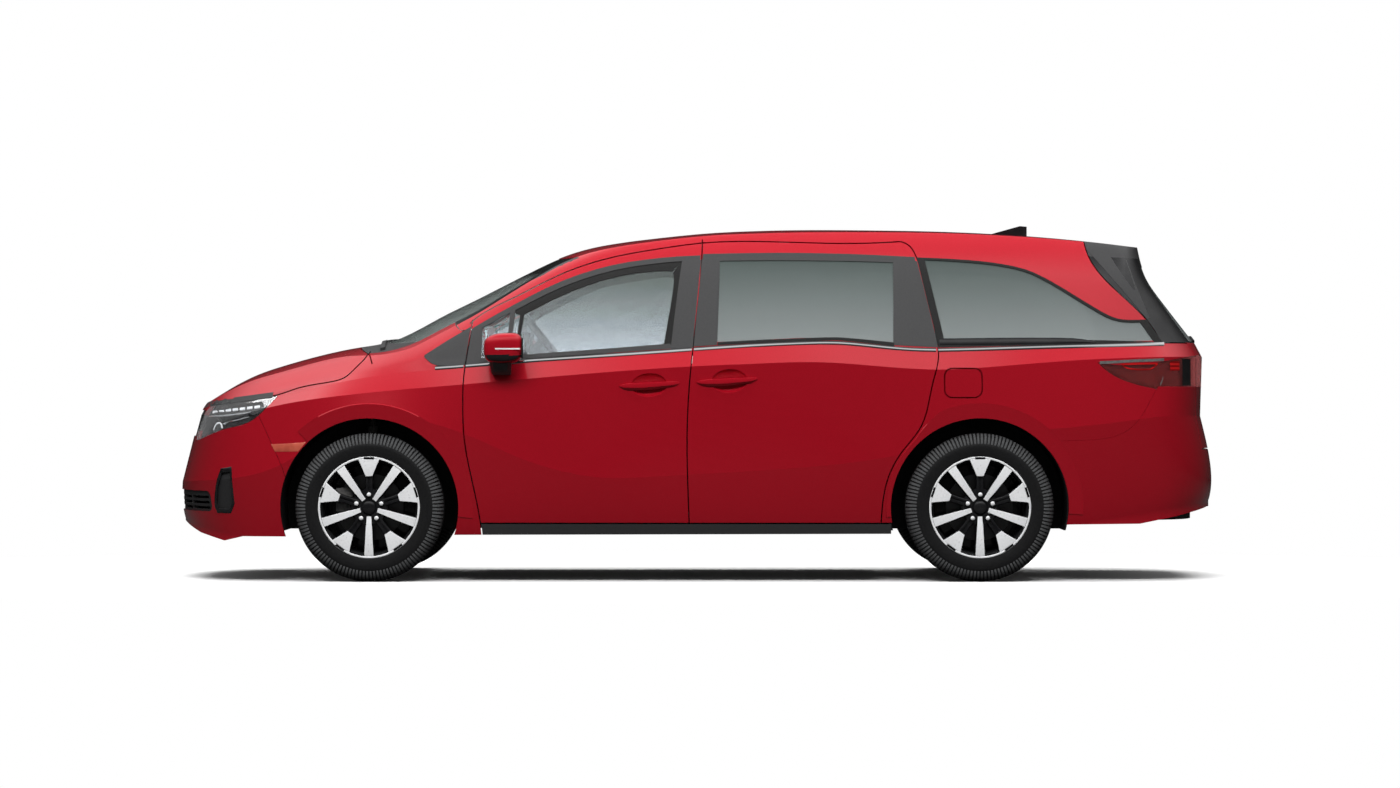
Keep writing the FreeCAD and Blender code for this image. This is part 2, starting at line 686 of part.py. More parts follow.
def arch(x, radius, near=OUTSIDE, far=-ARCH_DEPTH):
    return Part.makeCylinder(radius, far - near, Vector(x, near, WHEEL_Z), Vector(0, 1, 0))


def between(x0, x1, near, far, z0, z1, x, z):
    """A box given from an axle's place, on the left side."""
    return box(x + x0, x + x1, near, far, z + z0, z + z1)


# The body's form as nested shells: outer skin, panel backs, and the backs of the thick walls
outer = body_form(0, 0, 0)
inner = body_form(WALL_LOW, WALL_HIGH, ROOF_THICK)
under = side_plate(poly(UNDERSIDE + [(FAR, -SKY), (-FAR, -SKY)]), -DEEP, DEEP)
outer = outer.cut(under)
band = outer.cut(inner)
inner_thin = body_form(LID_THICK, LID_THICK, LID_THICK)
lids = outer.cut(inner_thin)
glass_half = body_form(GLASS_DEPTH, GLASS_DEPTH, GLASS_DEPTH).cut(body_form(GLASS_BACK, GLASS_BACK, GLASS_BACK))
lamp_shell = outer.cut(body_form(LAMP_DEEP, LAMP_DEEP, LAMP_DEEP))

# Shut lines as thin blades through the skin
blades = [side_plate(ribbon(line, SHUT_GAP), OUTSIDE, INSIDE)
          for line in (FENDER_LINE, DOOR_LINE, SLIDE_LINE, UPPER_LINE)]
sill_blade = box(SILL_FRONT, SILL_REAR, OUTSIDE, INSIDE, SILL_Z - SPLIT, SILL_Z + SPLIT)
windows = [side_plate(w, OUTSIDE, INSIDE) for w in (FRONT_WINDOW, SLIDE_WINDOW, QUARTER_WINDOW)]
arches = [arch(FRONT_AXLE, ARCH_RADIUS), arch(REAR_AXLE, ARCH_RADIUS)]
hood_blade = side_plate(ribbon(HOOD_LINE, SHUT_GAP), OUTSIDE, 0)
rear_blade = plan_plate(ribbon(HOOD_REAR, SHUT_GAP), HOOD_LOW, ROOF_LOW)
bumper_blade = side_plate(ribbon(BUMPER_LINE, SEAM), OUTSIDE, INSIDE)
tail_blade = side_plate(ribbon(REAR_BUMPER_LINE, SEAM), OUTSIDE, INSIDE)
joint_blade = side_plate(ribbon(PILLAR_JOINT, SEAM), OUTSIDE, 0)
headlamp = side_plate(HEADLAMP, OUTSIDE, -LAMP_HALF)
tail_lamp = side_plate(TAIL_LAMP, OUTSIDE, -LAMP_INNER)
gate_blades = [side_plate(ribbon(GATE_LINE, SHUT_GAP), OUTSIDE, 0),
               box(GATE_NEAR, FAR, OUTSIDE, -GATE_HALF, GATE_TOP - SPLIT, GATE_TOP + SPLIT),
               box(GATE_NEAR, FAR, -GATE_HALF - SPLIT, -GATE_HALF + SPLIT, GATE_FOOT, GATE_TOP),
               box(GATE_NEAR, FAR, -GATE_HALF, 0, GATE_FOOT - SPLIT, GATE_FOOT + SPLIT)]

# Zones of the skin that belong to the windshield, the cowl, the hood, the fender and the rear bumper
shield_plan = plan_plate([HEADER, [HEADER[-1], COWL[-1]], list(reversed(COWL)), [COWL[0], HEADER[0]]],
                         SHIELD_LOW, SKY)
shield_tube = tube(WALL_HIGH, WALL_HIGH).common(shield_plan)
cowl_zone = tube(COWL_DEEP, COWL_DEEP).common(plan_plate(
    [HOOD_REAR, [HOOD_REAR[-1], (COWL_REAR, COWL_SIDE)], [(COWL_REAR, COWL_SIDE), (COWL_REAR, 0)],
     [(COWL_REAR, 0), HOOD_REAR[0]]], SHIELD_LOW, SKY))
roof_plan = plan_plate(poly(ROOF_PLAN), ROOF_LOW, SKY)
hood_foot = [(x, z - SPLIT) for x, z in HOOD_LINE]
hood_zone = side_plate([hood_foot, [hood_foot[-1], (HOOD_LINE[-1][0], SKY)],
                        [(HOOD_LINE[-1][0], SKY), (HOOD_LINE[0][0], SKY)],
                        [(HOOD_LINE[0][0], SKY), hood_foot[0]]], OUTSIDE, 0)
joint_runs = [[PILLAR_JOINT[k], PILLAR_JOINT[k - 1]] for k in range(len(PILLAR_JOINT) - 1, 0, -1)]
fender_foot = (FENDER_LINE[-1][0], 0)
fender_top = (-FAR, PILLAR_JOINT[-1][1])
fender_zone = side_plate([FENDER_LINE[1:], [FENDER_LINE[-1], fender_foot], [fender_foot, (-FAR, 0)],
                          [(-FAR, 0), fender_top], [fender_top, PILLAR_JOINT[-1]]] + joint_runs, OUTSIDE, 0)
tail_corner = (FAR, REAR_BUMPER_LINE[-1][1])
tail_foot = (REAR_BUMPER_LINE[0][0], 0)
tail_zone = side_plate([REAR_BUMPER_LINE, [REAR_BUMPER_LINE[-1], tail_corner], [tail_corner, (FAR, 0)],
                        [(FAR, 0), tail_foot], [tail_foot, REAR_BUMPER_LINE[0]]], OUTSIDE, 0)

# Doors, side frame and tailgate come from the thick walls
sides = band.common(box(CABIN_FRONT, FAR, -DEEP, 0, 0, SKY))
side_pieces = sides.cut(blades + [sill_blade] + windows + arches + gate_blades + [shield_tube]).Solids
front_door = pick(side_pieces, FRONT_DOOR_SPOT)
slide_door = pick(side_pieces, SLIDE_DOOR_SPOT)
quarter = pick(side_pieces, QUARTER_SPOT)
gate = pick(side_pieces, GATE_SPOT)

# The front door's back edges are trimmed, so that they clear the frame as it swings
under_edge = body_form(EDGE_DEPTH, EDGE_DEPTH, EDGE_DEPTH)
edge_room = [side_plate(ribbon(line, SHUT_GAP + 2 * EDGE_BACK), OUTSIDE, INSIDE)
             for line in (FENDER_LINE, DOOR_LINE, UPPER_LINE[:EDGE_RUN])]
front_door = largest(front_door.cut([room.common(under_edge) for room in edge_room]))

# Hood, fenders, front bumper, cowl and headlamps
lamp_cut = headlamp.cut(hood_zone)
front_pieces = lids.common(fender_zone).cut([hood_blade, rear_blade, lamp_cut, bumper_blade, blades[0], joint_blade,
                                             shield_tube, cowl_zone] + arches).Solids
hood_half = pick(front_pieces, HOOD_SPOT)
bumper_half = pick(front_pieces, BUMPER_SPOT)
fender = pick(front_pieces, FENDER_SPOT)
sail_cut = side_plate(SAIL, OUTSIDE, INSIDE)
sail = fender.common(sail_cut)
fender = fender.cut(sail_cut)
cowl_half = pick(lids.common(cowl_zone).cut([rear_blade, shield_tube, hood_blade]).Solids, COWL_SPOT)
headlight = largest(lamp_shell.common(lamp_cut).cut(hood_blade))

# Side frame with its fuel pocket and the stop that the flap rests on
fuel_cut = rounded_side(FUEL[0], FUEL[1], FUEL[2], FUEL[3], FUEL_RADIUS, OUTSIDE, FUEL_IN)
fuel_pocket = fuel_cut.cut(body_form(POCKET_DEEP, POCKET_DEEP, POCKET_DEEP))
flap_back = body_form(FLAP_THICK, FLAP_THICK, FLAP_THICK)
fuel_door = rounded_side(FUEL[0] + SHUT_GAP, FUEL[1] - SHUT_GAP, FUEL[2] + SHUT_GAP, FUEL[3] - SHUT_GAP,
                         FUEL_RADIUS - SHUT_GAP, OUTSIDE, FUEL_IN)
fuel_door = fuel_door.common(outer).cut(flap_back)
flap_stop = rod(Vector(STOP_X, STOP_ROOT, STOP_Z), Vector(STOP_X, OUTSIDE, STOP_Z), STOP_RADIUS).common(flap_back)
flap_stop.translate(Vector(0, SEAT_GAP, 0))
frame = quarter.cut([fender_zone, joint_blade, tail_lamp, roof_plan]).cut(tail_zone)
frame_plain = pick(frame.Solids, FRAME_SPOT)
frame_right = mirror(frame_plain)
frame_left = frame_plain.cut(fuel_pocket).fuse(flap_stop)
roof_half = quarter.common(roof_plan)

# Rear bumper and rear lamps
rear_bumper_half = pick(lids.common(tail_zone).cut(arches + gate_blades + [tail_blade]).Solids, REAR_BUMPER_SPOT)
lamp_band = lamp_shell.common(tail_lamp)
lamp_pieces = lamp_band.cut(gate_blades).cut(tail_zone).Solids
tail_light = pick(lamp_pieces, TAIL_LAMP_SPOT)
gate_light = pick(lamp_pieces, GATE_LAMP_SPOT)

# Tailgate: its window and the roof spoiler
rear_window = rear_plate(REAR_WINDOW, REAR_WINDOW_NEAR, FAR)
rear_glass = whole(glass_half.common(rear_window))
gate_whole = whole(gate.cut(lamp_band)).cut(rear_window)
spoiler_zone = side_plate(poly(SPOILER), -DEEP, DEEP)
spoiler = gate_whole.common(spoiler_zone)
gate_whole = gate_whole.cut(spoiler_zone)

save_pair("front_door", front_door)
save_both("sliding_doors", slide_door)
save_both("fenders", fender)
save("hood", whole(hood_half))
save_both("headlamps", headlight)
save("cowl_panel", whole(cowl_half))
save("windshield", whole(glass_half.common(shield_tube)))
save_pair("front_door_glass", glass_half.common(windows[0]))
save_both("sliding_door_glass", glass_half.common(windows[1]))
save_both("quarter_glass", glass_half.common(windows[2]))
save("side_frame_left", frame_left)
save("side_frame_right", frame_right)
save("roof_panel", whole(roof_half))
save("rear_bumper", whole(rear_bumper_half))
save_both("tail_lamps", tail_light)
save("tailgate", gate_whole)
save("tailgate_glass", rear_glass)
save("spoiler", spoiler)
save_both("tailgate_lamps", gate_light)
save("fuel_door", fuel_door)
save_both("sail_panels", sail)

# Front bumper: two mouths with slats, and a grated intake at each corner
bumper = whole(bumper_half)
nose = box(-FAR, WRAP_FRONT, -DEEP, 0, 0, SKY)
slat_front = whole(outer.cut(tube(GRILLE_INSET, GRILLE_INSET)).common(nose))
grilles = []
for half, foot, top, corner in (UPPER_MOUTH, LOWER_MOUTH):
    mouth = rounded_front(-half, half, foot, top, corner, -FAR, GRILLE_BACK)
    slots = []
    z = foot + SLOT_EDGE
    while z + SLOT_TALL < top:
        for start_share, end_share in SLOT_SHARES:
            slots.append(box(-FAR, GRILLE_BACK, start_share * half, end_share * half, z, z + SLOT_TALL))
        z += SLOT_PITCH
    grilles.append(bumper.common(mouth).cut(slots + [slat_front]))
    bumper = bumper.cut(mouth)
intake = side_plate(INTAKE, OUTSIDE, -INTAKE_HALF)
intake_skin = outer.cut(tube(INTAKE_DEPTH, INTAKE_DEPTH)).common(nose)
for cut in (intake, mirror(intake)):
    grilles.append(bumper.common(cut).cut([intake_skin, mirror(intake_skin)]))
    bumper = bumper.cut(cut)
save("front_bumper", bumper)
save("grilles", Part.Compound(grilles))


# Wheels
def on_wheel(hub, radius, angle, y):
    """A point of a wheel at an angle from the front, in degrees."""
    turn = math.radians(angle)
    return hub + Vector(radius * math.cos(turn), y, radius * math.sin(turn))


def spoke(hub, angle, root, waist, tip, near, far):
    """A flat spoke: half widths at its root, waist and tip, between two depths along the axle."""
    turn = math.radians(angle)
    along = Vector(math.cos(turn), 0, math.sin(turn))
    across = Vector(-math.sin(turn), 0, math.cos(turn))
    one = [along * SPOKE_START + across * root, along * SPOKE_WAIST + across * waist,
           along * SPOKE_REACH + across * tip]
    two = [along * SPOKE_REACH - across * tip, along * SPOKE_WAIST - across * waist,
           along * SPOKE_START - across * root]
    corners = [hub + Vector(0, near, 0) + p for p in one + two]
    face = Part.Face(Part.makePolygon(corners + corners[:1]))
    return face.extrude(Vector(0, far - near, 0))


def wheel(x, side):
    """Tyre, rim and brake disc of one wheel; side is -1 on the left and 1 on the right."""
    hub = Vector(x, side * WHEEL_Y, WHEEL_Z)
    half = TYRE_WIDTH / 2
    bead_radius = RIM_RADIUS + BEAD_GAP
    section = [(bead_radius + (TYRE_RADIUS - bead_radius) * r, half * w) for r, w in TYRE_SHARES]
    tyre = lathe(section + [(r, -w) for r, w in reversed(section)], hub)
    rim_line = [(BARREL_RADIUS + (FLANGE_RADIUS - BARREL_RADIUS) * r, side * half * w) for r, w in RIM_SHARES]
    rim = lathe(rim_line, hub)
    flange_room = []
    for end in (half, -half):
        gap = math.copysign(BEAD_GAP, end)
        lip = end * RIM_SHARES[1][1] - gap
        bead = end * RIM_SHARES[0][1] - gap
        flange_room.append(lathe([(BARREL_RADIUS, bead), (bead_radius, bead), (FLANGE_RADIUS + RIM_PLAY, lip),
                                  (FLANGE_RADIUS + RIM_PLAY, end + end), (BARREL_RADIUS, end + end)], hub))
    tyre = tyre.cut(flange_room)
    face = side * (half - HUB_INSET)
    boss = lathe([(0, face - side * HUB_RISE), (LUG_CIRCLE, face - side * HUB_RISE),
                  (HUB_RADIUS, face - side * HUB_EDGE), (HUB_RADIUS, face - side * HUB_DEPTH),
                  (0, face - side * HUB_DEPTH)], hub)
    near = face - side * SPOKE_RECESS
    pieces = [boss]
    pitch = 360 / SPOKE_COUNT
    for k in range(SPOKE_COUNT):
        turn = SPOKE_TURN + pitch * k
        lug = turn - pitch / 2
        pieces.append(spoke(hub, turn, SPOKE_HALF, SPOKE_HALF * 0.8, SPOKE_TIP, near, face - side * SPOKE_DEEP))
        pieces.append(spoke(hub, lug, LEG_HALF, LEG_HALF, WEDGE_HALF, near, face - side * WEDGE_DEEP))
        pieces.append(rod(on_wheel(hub, LUG_CIRCLE, lug, face - side * LUG_BACK),
                          on_wheel(hub, LUG_CIRCLE, lug, face + side * LUG_FRONT), LUG_RADIUS))
    pieces.append(rod(hub + Vector(0, face - side * CAP_BACK, 0), hub + Vector(0, face + side * CAP_FRONT, 0),
                      CAP_RADIUS))
    rim = rim.fuse(pieces)
    bore = STUB_RADIUS + STUB_PLAY
    section = [(0, HUB_DEPTH), (BELL_RADIUS, HUB_DEPTH), (BELL_RADIUS, DISC_BACK), (DISC_RADIUS, DISC_BACK),
               (DISC_RADIUS, DISC_BACK + DISC_THICK), (SLEEVE_RADIUS, DISC_BACK + DISC_THICK),
               (SLEEVE_RADIUS, SLEEVE_END), (bore, SLEEVE_END), (bore, DISC_BACK + SEAM), (0, DISC_BACK + SEAM)]
    disc = lathe([(r, face - side * deep) for r, deep in section], hub)
    return tyre, rim, disc


for name, x in (("front", FRONT_AXLE), ("rear", REAR_AXLE)):
    for tag, side in (("left", -1), ("right", 1)):
        tyre, rim, disc = wheel(x, side)
        save("tyre_" + name + "_" + tag, tyre)
        save("rim_" + name + "_" + tag, rim)
        save("brake_disc_" + name + "_" + tag, disc)


# Steering knuckles, struts, subframe and rear axle
def pin_point(side, z):
    """A point of the steering axis at a height."""
    share = (z - PIN_LOW[1]) / (PIN_TOP[1] - PIN_LOW[1])
    return Vector(FRONT_AXLE, side * (PIN_LOW[0] + (PIN_TOP[0] - PIN_LOW[0]) * share), z)


def on_pin(side, heights, radius):
    return rod(pin_point(side, heights[0]), pin_point(side, heights[1]), radius)


def at_front_axle(side, sizes):
    x0, x1, near, far, z0, z1 = sizes
    return side_box(side, FRONT_AXLE + x0, FRONT_AXLE + x1, near, far, WHEEL_Z + z0, WHEEL_Z + z1)


def knuckle(side):
    hub = Vector(FRONT_AXLE, 0, WHEEL_Z)
    stub_tip = HUB_FACE - DISC_BACK - STUB_SHORT
    stub = rod(hub + Vector(0, side * STUB_ROOT, 0), hub + Vector(0, side * stub_tip, 0), STUB_RADIUS)
    plate = at_front_axle(side, KNUCKLE_PLATE)
    link = at_front_axle(side, CALIPER_LINK)
    disc_near = HUB_FACE - DISC_BACK + DISC_ROOM
    disc_far = disc_near - DISC_THICK - 2 * DISC_ROOM
    disc_room = lathe([(0, side * disc_far), (DISC_RADIUS + DISC_ROOM, side * disc_far),
                       (DISC_RADIUS + DISC_ROOM, side * disc_near), (0, side * disc_near)], hub)
    caliper = at_front_axle(side, CALIPER).cut(disc_room)
    sleeve_far = HUB_FACE - SLEEVE_END - DISC_ROOM
    bore = STUB_RADIUS + STUB_PLAY
    reach = SLEEVE_RADIUS + DISC_ROOM
    sleeve_room = lathe([(bore, side * sleeve_far), (reach, side * sleeve_far), (reach, side * HUB_FACE),
                         (bore, side * HUB_FACE)], hub)
    upright = on_pin(side, UPRIGHT, UPRIGHT_RADIUS)
    damper = on_pin(side, DAMPER, DAMPER_RADIUS)
    piston = on_pin(side, PISTON, PISTON_RADIUS)
    return largest(upright.fuse([plate, stub, damper, piston, caliper, link]).cut(sleeve_room))


def strut_mount(side):
    """The cup in the wheel house that the strut's piston turns in."""
    cup = on_pin(side, CUP, CUP_RADIUS).cut(on_pin(side, CUP_BORE, CUP_INNER))
    arms = []
    for x0, x1, near, far, z0, z1 in (STRUT_SHELF, STRUT_LEG):
        arms.append(side_box(side, FRONT_AXLE + x0, FRONT_AXLE + x1, near, far, z0, z1))
    return cup.fuse(arms)


save("knuckle_left", knuckle(-1))
save("knuckle_right", knuckle(1))
save("front_struts", Part.Compound([strut_mount(-1), strut_mount(1)]))
subframe = box(*SUBFRAME)
rests = []
for side in (-1, 1):
    rests.append(rod(Vector(FRONT_AXLE, side * ARM_INNER[0], ARM_INNER[1]),
                     Vector(FRONT_AXLE, side * ARM_OUTER[0], ARM_OUTER[1]), ARM_RADIUS))
    for x in (SUBFRAME[0], SUBFRAME[1] - SUBFRAME_LEG):
        rests.append(box(x, x + SUBFRAME_LEG, side * SUBFRAME_LEG_Y - SUBFRAME_LEG / 2,
                         side * SUBFRAME_LEG_Y + SUBFRAME_LEG / 2, SUBFRAME[5], SUBFRAME_LEG_TOP))
save("front_subframe", subframe.fuse(rests))

# Door mirrors and handles
mirror_left = rounded_box(*MIRROR_HEAD, MIRROR_ROUND).fuse(rounded_box(*MIRROR_FOOT, MIRROR_FOOT_ROUND))
save_pair("mirror", largest(mirror_left.cut(outer)))


def handle(sizes, face):
    """A grab bar on two posts, just outside the skin of a door."""
    x0, x1, z0, z1 = sizes
    bar = rounded_box(x0, x1, -face - HANDLE_PROUD, -face + HANDLE_BACK, z0, z1, HANDLE_ROUND)
    posts = [box(x, x + POST_LONG, -face, -face + POST_DEEP, z0 + HANDLE_ROUND, z1 - HANDLE_ROUND)
             for x in (x0 + POST_IN, x1 - POST_IN - POST_LONG)]
    return bar.fuse(posts)


save_pair("front_door_handle", largest(handle(FRONT_HANDLE, FRONT_HANDLE_Y).cut(front_door)))
save_both("sliding_door_handles", largest(handle(SLIDE_HANDLE, SLIDE_HANDLE_Y).cut(slide_door)))

# Sill trims and arch liners
sill = band.common(box(SILL_TRIM_FRONT, SILL_TRIM_REAR, -DEEP, 0, 0, SILL_TRIM_TOP))
sill = sill.cut(arches + [side_plate(poly(SILL_TRIM_END), OUTSIDE, 0)])
save_both("sill_trims", largest(sill.cut([fender_zone, blades[0]])))


def liner(x):
    shell = arch(x, ARCH_RADIUS + LINER_THICK).cut(arch(x, ARCH_RADIUS, -FAR, -ARCH_DEPTH + SEAM))
    wall = Part.makeCylinder(ARCH_RADIUS + LINER_THICK, LINER_THICK, Vector(x, -ARCH_DEPTH, WHEEL_Z), Vector(0, 1, 0))
    reach = box(x - LINER_REACH, x + LINER_REACH, -DEEP, 0, LINER_LOW, LINER_TOP)
    return shell.fuse(wall).common(reach)


strut_room = on_pin(-1, STRUT_ROOM, STRUT_ROOM_RADIUS)
arm_room = between(*ARM_ROOM, FRONT_AXLE, 0)
beam_room = between(*BEAM_ROOM, REAR_AXLE, 0)
front_liner = largest(liner(FRONT_AXLE).common(inner_thin).cut([front_door, frame_plain, strut_room, arm_room]))
rear_liner = largest(liner(REAR_AXLE).common(inner).cut([slide_door, frame_plain, beam_room]))
save("arch_liners", Part.Compound([front_liner, mirror(front_liner), rear_liner, mirror(rear_liner)]))

# Floor with its bulkhead, rails and sills; the doors and the tailgate close against it with a seat gap
keep_out = [arch(x, ARCH_RADIUS + LINER_THICK, -DEEP, -ARCH_DEPTH + LINER_THICK) for x in (FRONT_AXLE, REAR_AXLE)]
floor_low = [(BULKHEAD_X, FLOOR_LOW), (SILL_STEP, FLOOR_LOW), (SILL_STEP + STEP_RUN, SHELF_LOW),
             (SHELF_REAR, SHELF_LOW), (SHELF_REAR + STEP_RUN, WELL_LOW), (FLOOR_REAR, WELL_LOW)]
back_off = FLOOR_THICK * STEP_RUN / (SHELF_LOW - FLOOR_LOW)
floor_top = [(BULKHEAD_X, FLOOR_LOW + FLOOR_THICK), (SILL_STEP - SHELF_THICK + back_off, FLOOR_LOW + FLOOR_THICK),
             (SILL_STEP + STEP_RUN - SHELF_THICK + back_off, SHELF_LOW + SHELF_THICK),
             (SHELF_REAR + SHELF_THICK - back_off, SHELF_LOW + SHELF_THICK),
             (SHELF_REAR + STEP_RUN + SHELF_THICK - back_off, WELL_LOW + SHELF_THICK),
             (FLOOR_REAR, WELL_LOW + SHELF_THICK)]
floor_half = side_plate(poly(floor_low + list(reversed(floor_top))), -FLOOR_HALF, 0).fuse(box(*SILL_RAIL))
floor_half = floor_half.common(inner)
floor_half.translate(Vector(0, SEAT_GAP, 0))
rear_sill = box(*REAR_SILL).common(inner)
rear_sill.translate(Vector(-SEAT_GAP, 0, 0))
bulkhead = box(BULKHEAD_X - BULKHEAD_THICK, BULKHEAD_X, -BULKHEAD_HALF, 0, FLOOR_LOW, BULKHEAD_TOP).common(inner_thin)
below_centre = box(-FAR, FAR, -DEEP, 0, 0, SKY)
floor_half = floor_half.common(below_centre).fuse([bulkhead, box(*RAIL), rear_sill]).cut(keep_out)
floor_pan = whole(largest(floor_half))
save("floor_pan", floor_pan)
beam = side_box(-1, REAR_AXLE + BEAM[0], REAR_AXLE + BEAM[1], BEAM[2], BEAM[3], BEAM[4], BEAM[5])
axle_parts = []
for side in (-1, 1):
    axle_parts.append(rod(Vector(REAR_AXLE, side * BEAM_STUB_ROOT, WHEEL_Z),
                          Vector(REAR_AXLE, side * (HUB_FACE - DISC_BACK - STUB_SHORT), WHEEL_Z), STUB_RADIUS))
    axle_parts.append(box(TRAILING_FRONT, REAR_AXLE, side * TRAILING_Y - TRAILING_HALF,
                          side * TRAILING_Y + TRAILING_HALF, TRAILING_LOW, TRAILING_TOP))
save("rear_axle", largest(beam.fuse(axle_parts).cut(floor_pan)))

# Engine and radiator, with the rubber stops that the closed hood rests on
save("engine_block", box(*ENGINE))
stop_x, stop_y, stop_low, stop_top = HOOD_STOP
hood_stop = rod(Vector(stop_x, -stop_y, stop_low), Vector(stop_x, -stop_y, stop_top), HOOD_STOP_RADIUS)
hood_stop = hood_stop.common(inner_thin)
hood_stop.translate(Vector(0, 0, -SEAT_GAP))
radiator = whole(box(*RADIATOR).common(inner_thin).fuse(hood_stop))
save("radiator", radiator.fuse([box(*foot) for foot in RADIATOR_FEET]))

# Dashboard, steering wheel and console
dash = side_plate(DASH_LINE, -DASH_HALF, 0).cut(keep_out[0]).common(inner).cut(front_door)
axis = (COLUMN_TOP - COLUMN_FOOT).normalize()
column = rod(COLUMN_FOOT - axis * COLUMN_BELOW, COLUMN_TOP - axis * COLUMN_SHORT, COLUMN_RADIUS)
dash = whole(largest(dash)).fuse([side_plate(HOODLET_LINE, *HOODLET_SIDES), column])
save("dashboard", dash)
across = Vector(0, 1, 0)
down = axis.cross(across)
if down.z > 0:
    down = down * -1
ring = Part.makeTorus(WHEEL_RING, WHEEL_GRIP, COLUMN_TOP, axis)
hub = rod(COLUMN_TOP - axis * WHEEL_HUB_FOOT, COLUMN_TOP + axis * WHEEL_HUB_RISE, WHEEL_HUB)
spokes = [rod(COLUMN_TOP, COLUMN_TOP + d * WHEEL_RING, WHEEL_SPOKE) for d in (across, across * -1, down)]
save("steering_wheel", ring.fuse([hub] + spokes))
save("console", rounded_box(*CONSOLE, CONSOLE_ROUND))


# Seats
def slab(x, y, half, sizes):
    x0, x1, z0, z1 = sizes
    return box(x + x0, x + x1, y - half, y + half, z0, z1)


def seat(x, y, width):
    """A plain seat; x is where the cushion meets the backrest."""
    back = slab(x, y, width / 2, BACKREST)
    back.rotate(Vector(x, y, BACKREST[2]), Vector(0, 1, 0), BACKREST_TILT)
    return slab(x, y, width / 2, CUSHION).fuse([slab(x, y, width / 2 - SEAT_BASE_IN, SEAT_BASE), back,
                                               slab(x, y, HEADREST_HALF, HEADREST), slab(x, y, NECK_HALF, NECK)])


save("front_seats", Part.Compound([seat(FRONT_SEAT_X, y, SEAT_WIDTH) for y in (-SEAT_Y, SEAT_Y)]))
middle = [seat(MIDDLE_SEAT_X, y, SEAT_WIDTH) for y in (-SEAT_Y, SEAT_Y)]
bench = seat(BENCH_X, -BENCH_Y, BENCH_WIDTH).fuse(seat(BENCH_X, BENCH_Y, BENCH_WIDTH)).cut(box(*BENCH_ROOM))
save("rear_seats", Part.Compound(middle + [bench]))

# Wipers rest on the windshield and the tailgate glass; the fin stands on the roof
wiper_layer = body_form(-WIPER_RISE, -WIPER_RISE, -WIPER_RISE).cut(outer)
wipers = [largest(plan_plate(straight_bar(line, WIPER_WIDTH), WIPER_LOW, WIPER_TOP).common(wiper_layer))
          for line in WIPER_LINES]
save("wipers", Part.Compound([wipers[0], mirror(wipers[1])]))
rear_blade_plate = rear_plate(straight_bar(REAR_WIPER_LINE, WIPER_WIDTH), GATE_NEAR, FAR)
save("rear_wiper", largest(rear_blade_plate.common(wiper_layer)))
fin = side_plate(FIN_LINE, -FIN_HALF, FIN_HALF).cut(below_ridge(0))
save("roof_fin", largest(fin))
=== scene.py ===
# %% [markdown]
# # A red family minivan in a white studio
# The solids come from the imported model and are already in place, in metres. The nose points to -X,
# the car's left side faces the camera at -Y, and Z is up. This lesson gives them paint, glass,
# rubber and cloth, and adds the small things that a solid model leaves out.

# %% Load the frame
import bpy
import bmesh
import json
import math
import numpy as np
from mathutils import Vector, Matrix
from mathutils.bvhtree import BVHTree

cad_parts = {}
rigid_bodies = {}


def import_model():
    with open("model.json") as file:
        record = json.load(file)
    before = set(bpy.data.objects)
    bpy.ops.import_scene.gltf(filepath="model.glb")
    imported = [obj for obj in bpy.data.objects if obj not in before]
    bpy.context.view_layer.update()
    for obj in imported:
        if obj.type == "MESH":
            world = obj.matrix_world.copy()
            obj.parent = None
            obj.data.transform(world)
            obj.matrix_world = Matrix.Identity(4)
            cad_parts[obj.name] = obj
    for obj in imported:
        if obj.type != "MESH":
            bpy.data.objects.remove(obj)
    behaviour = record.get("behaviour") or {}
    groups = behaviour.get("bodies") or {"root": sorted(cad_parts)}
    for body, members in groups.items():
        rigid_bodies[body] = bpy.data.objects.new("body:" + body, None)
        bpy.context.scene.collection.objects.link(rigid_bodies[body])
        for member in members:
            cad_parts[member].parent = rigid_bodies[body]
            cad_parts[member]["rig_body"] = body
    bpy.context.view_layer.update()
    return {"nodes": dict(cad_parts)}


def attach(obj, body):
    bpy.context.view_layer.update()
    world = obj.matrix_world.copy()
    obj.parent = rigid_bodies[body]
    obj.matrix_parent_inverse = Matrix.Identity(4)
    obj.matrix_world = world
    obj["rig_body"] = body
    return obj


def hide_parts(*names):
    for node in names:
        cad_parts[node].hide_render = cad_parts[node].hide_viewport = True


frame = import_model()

nodes = frame["nodes"]

# %% [markdown]
# The camera stands far off at hood height and looks straight at the left side, as a catalogue
# photographer does. A long lens keeps the near and far wheels nearly in line.

# %% Camera
CAMERA_PLACE = (0.0205, -24.0, 0.923)
LENS = 120.7
FILM_WIDTH = 36
SEES_TO = 200


def in_scene(name, data):
    thing = bpy.data.objects.new(name, data)
    bpy.context.scene.collection.objects.link(thing)
    return thing


camera_data = bpy.data.cameras.new("camera")
camera_data.sensor_width = FILM_WIDTH
camera_data.lens = LENS
camera_data.clip_end = SEES_TO
camera = in_scene("camera", camera_data)
camera.location = CAMERA_PLACE
camera.rotation_euler = (math.radians(90), 0, 0)
bpy.context.scene.camera = camera
bpy.context.scene.view_settings.view_transform = "Standard"
print("camera at", tuple(round(v, 3) for v in camera.location))

# %% [markdown]
# Materials are built from nodes. A few helpers keep each one short: one makes a material with its
# main shader, one feeds a texture with Object coordinates, one turns a texture into fine bumps, and
# others stretch a value to a new range or combine two. Constant values sit on the shader's own
# sockets, because a number that comes through a link is lost when the model is exported.

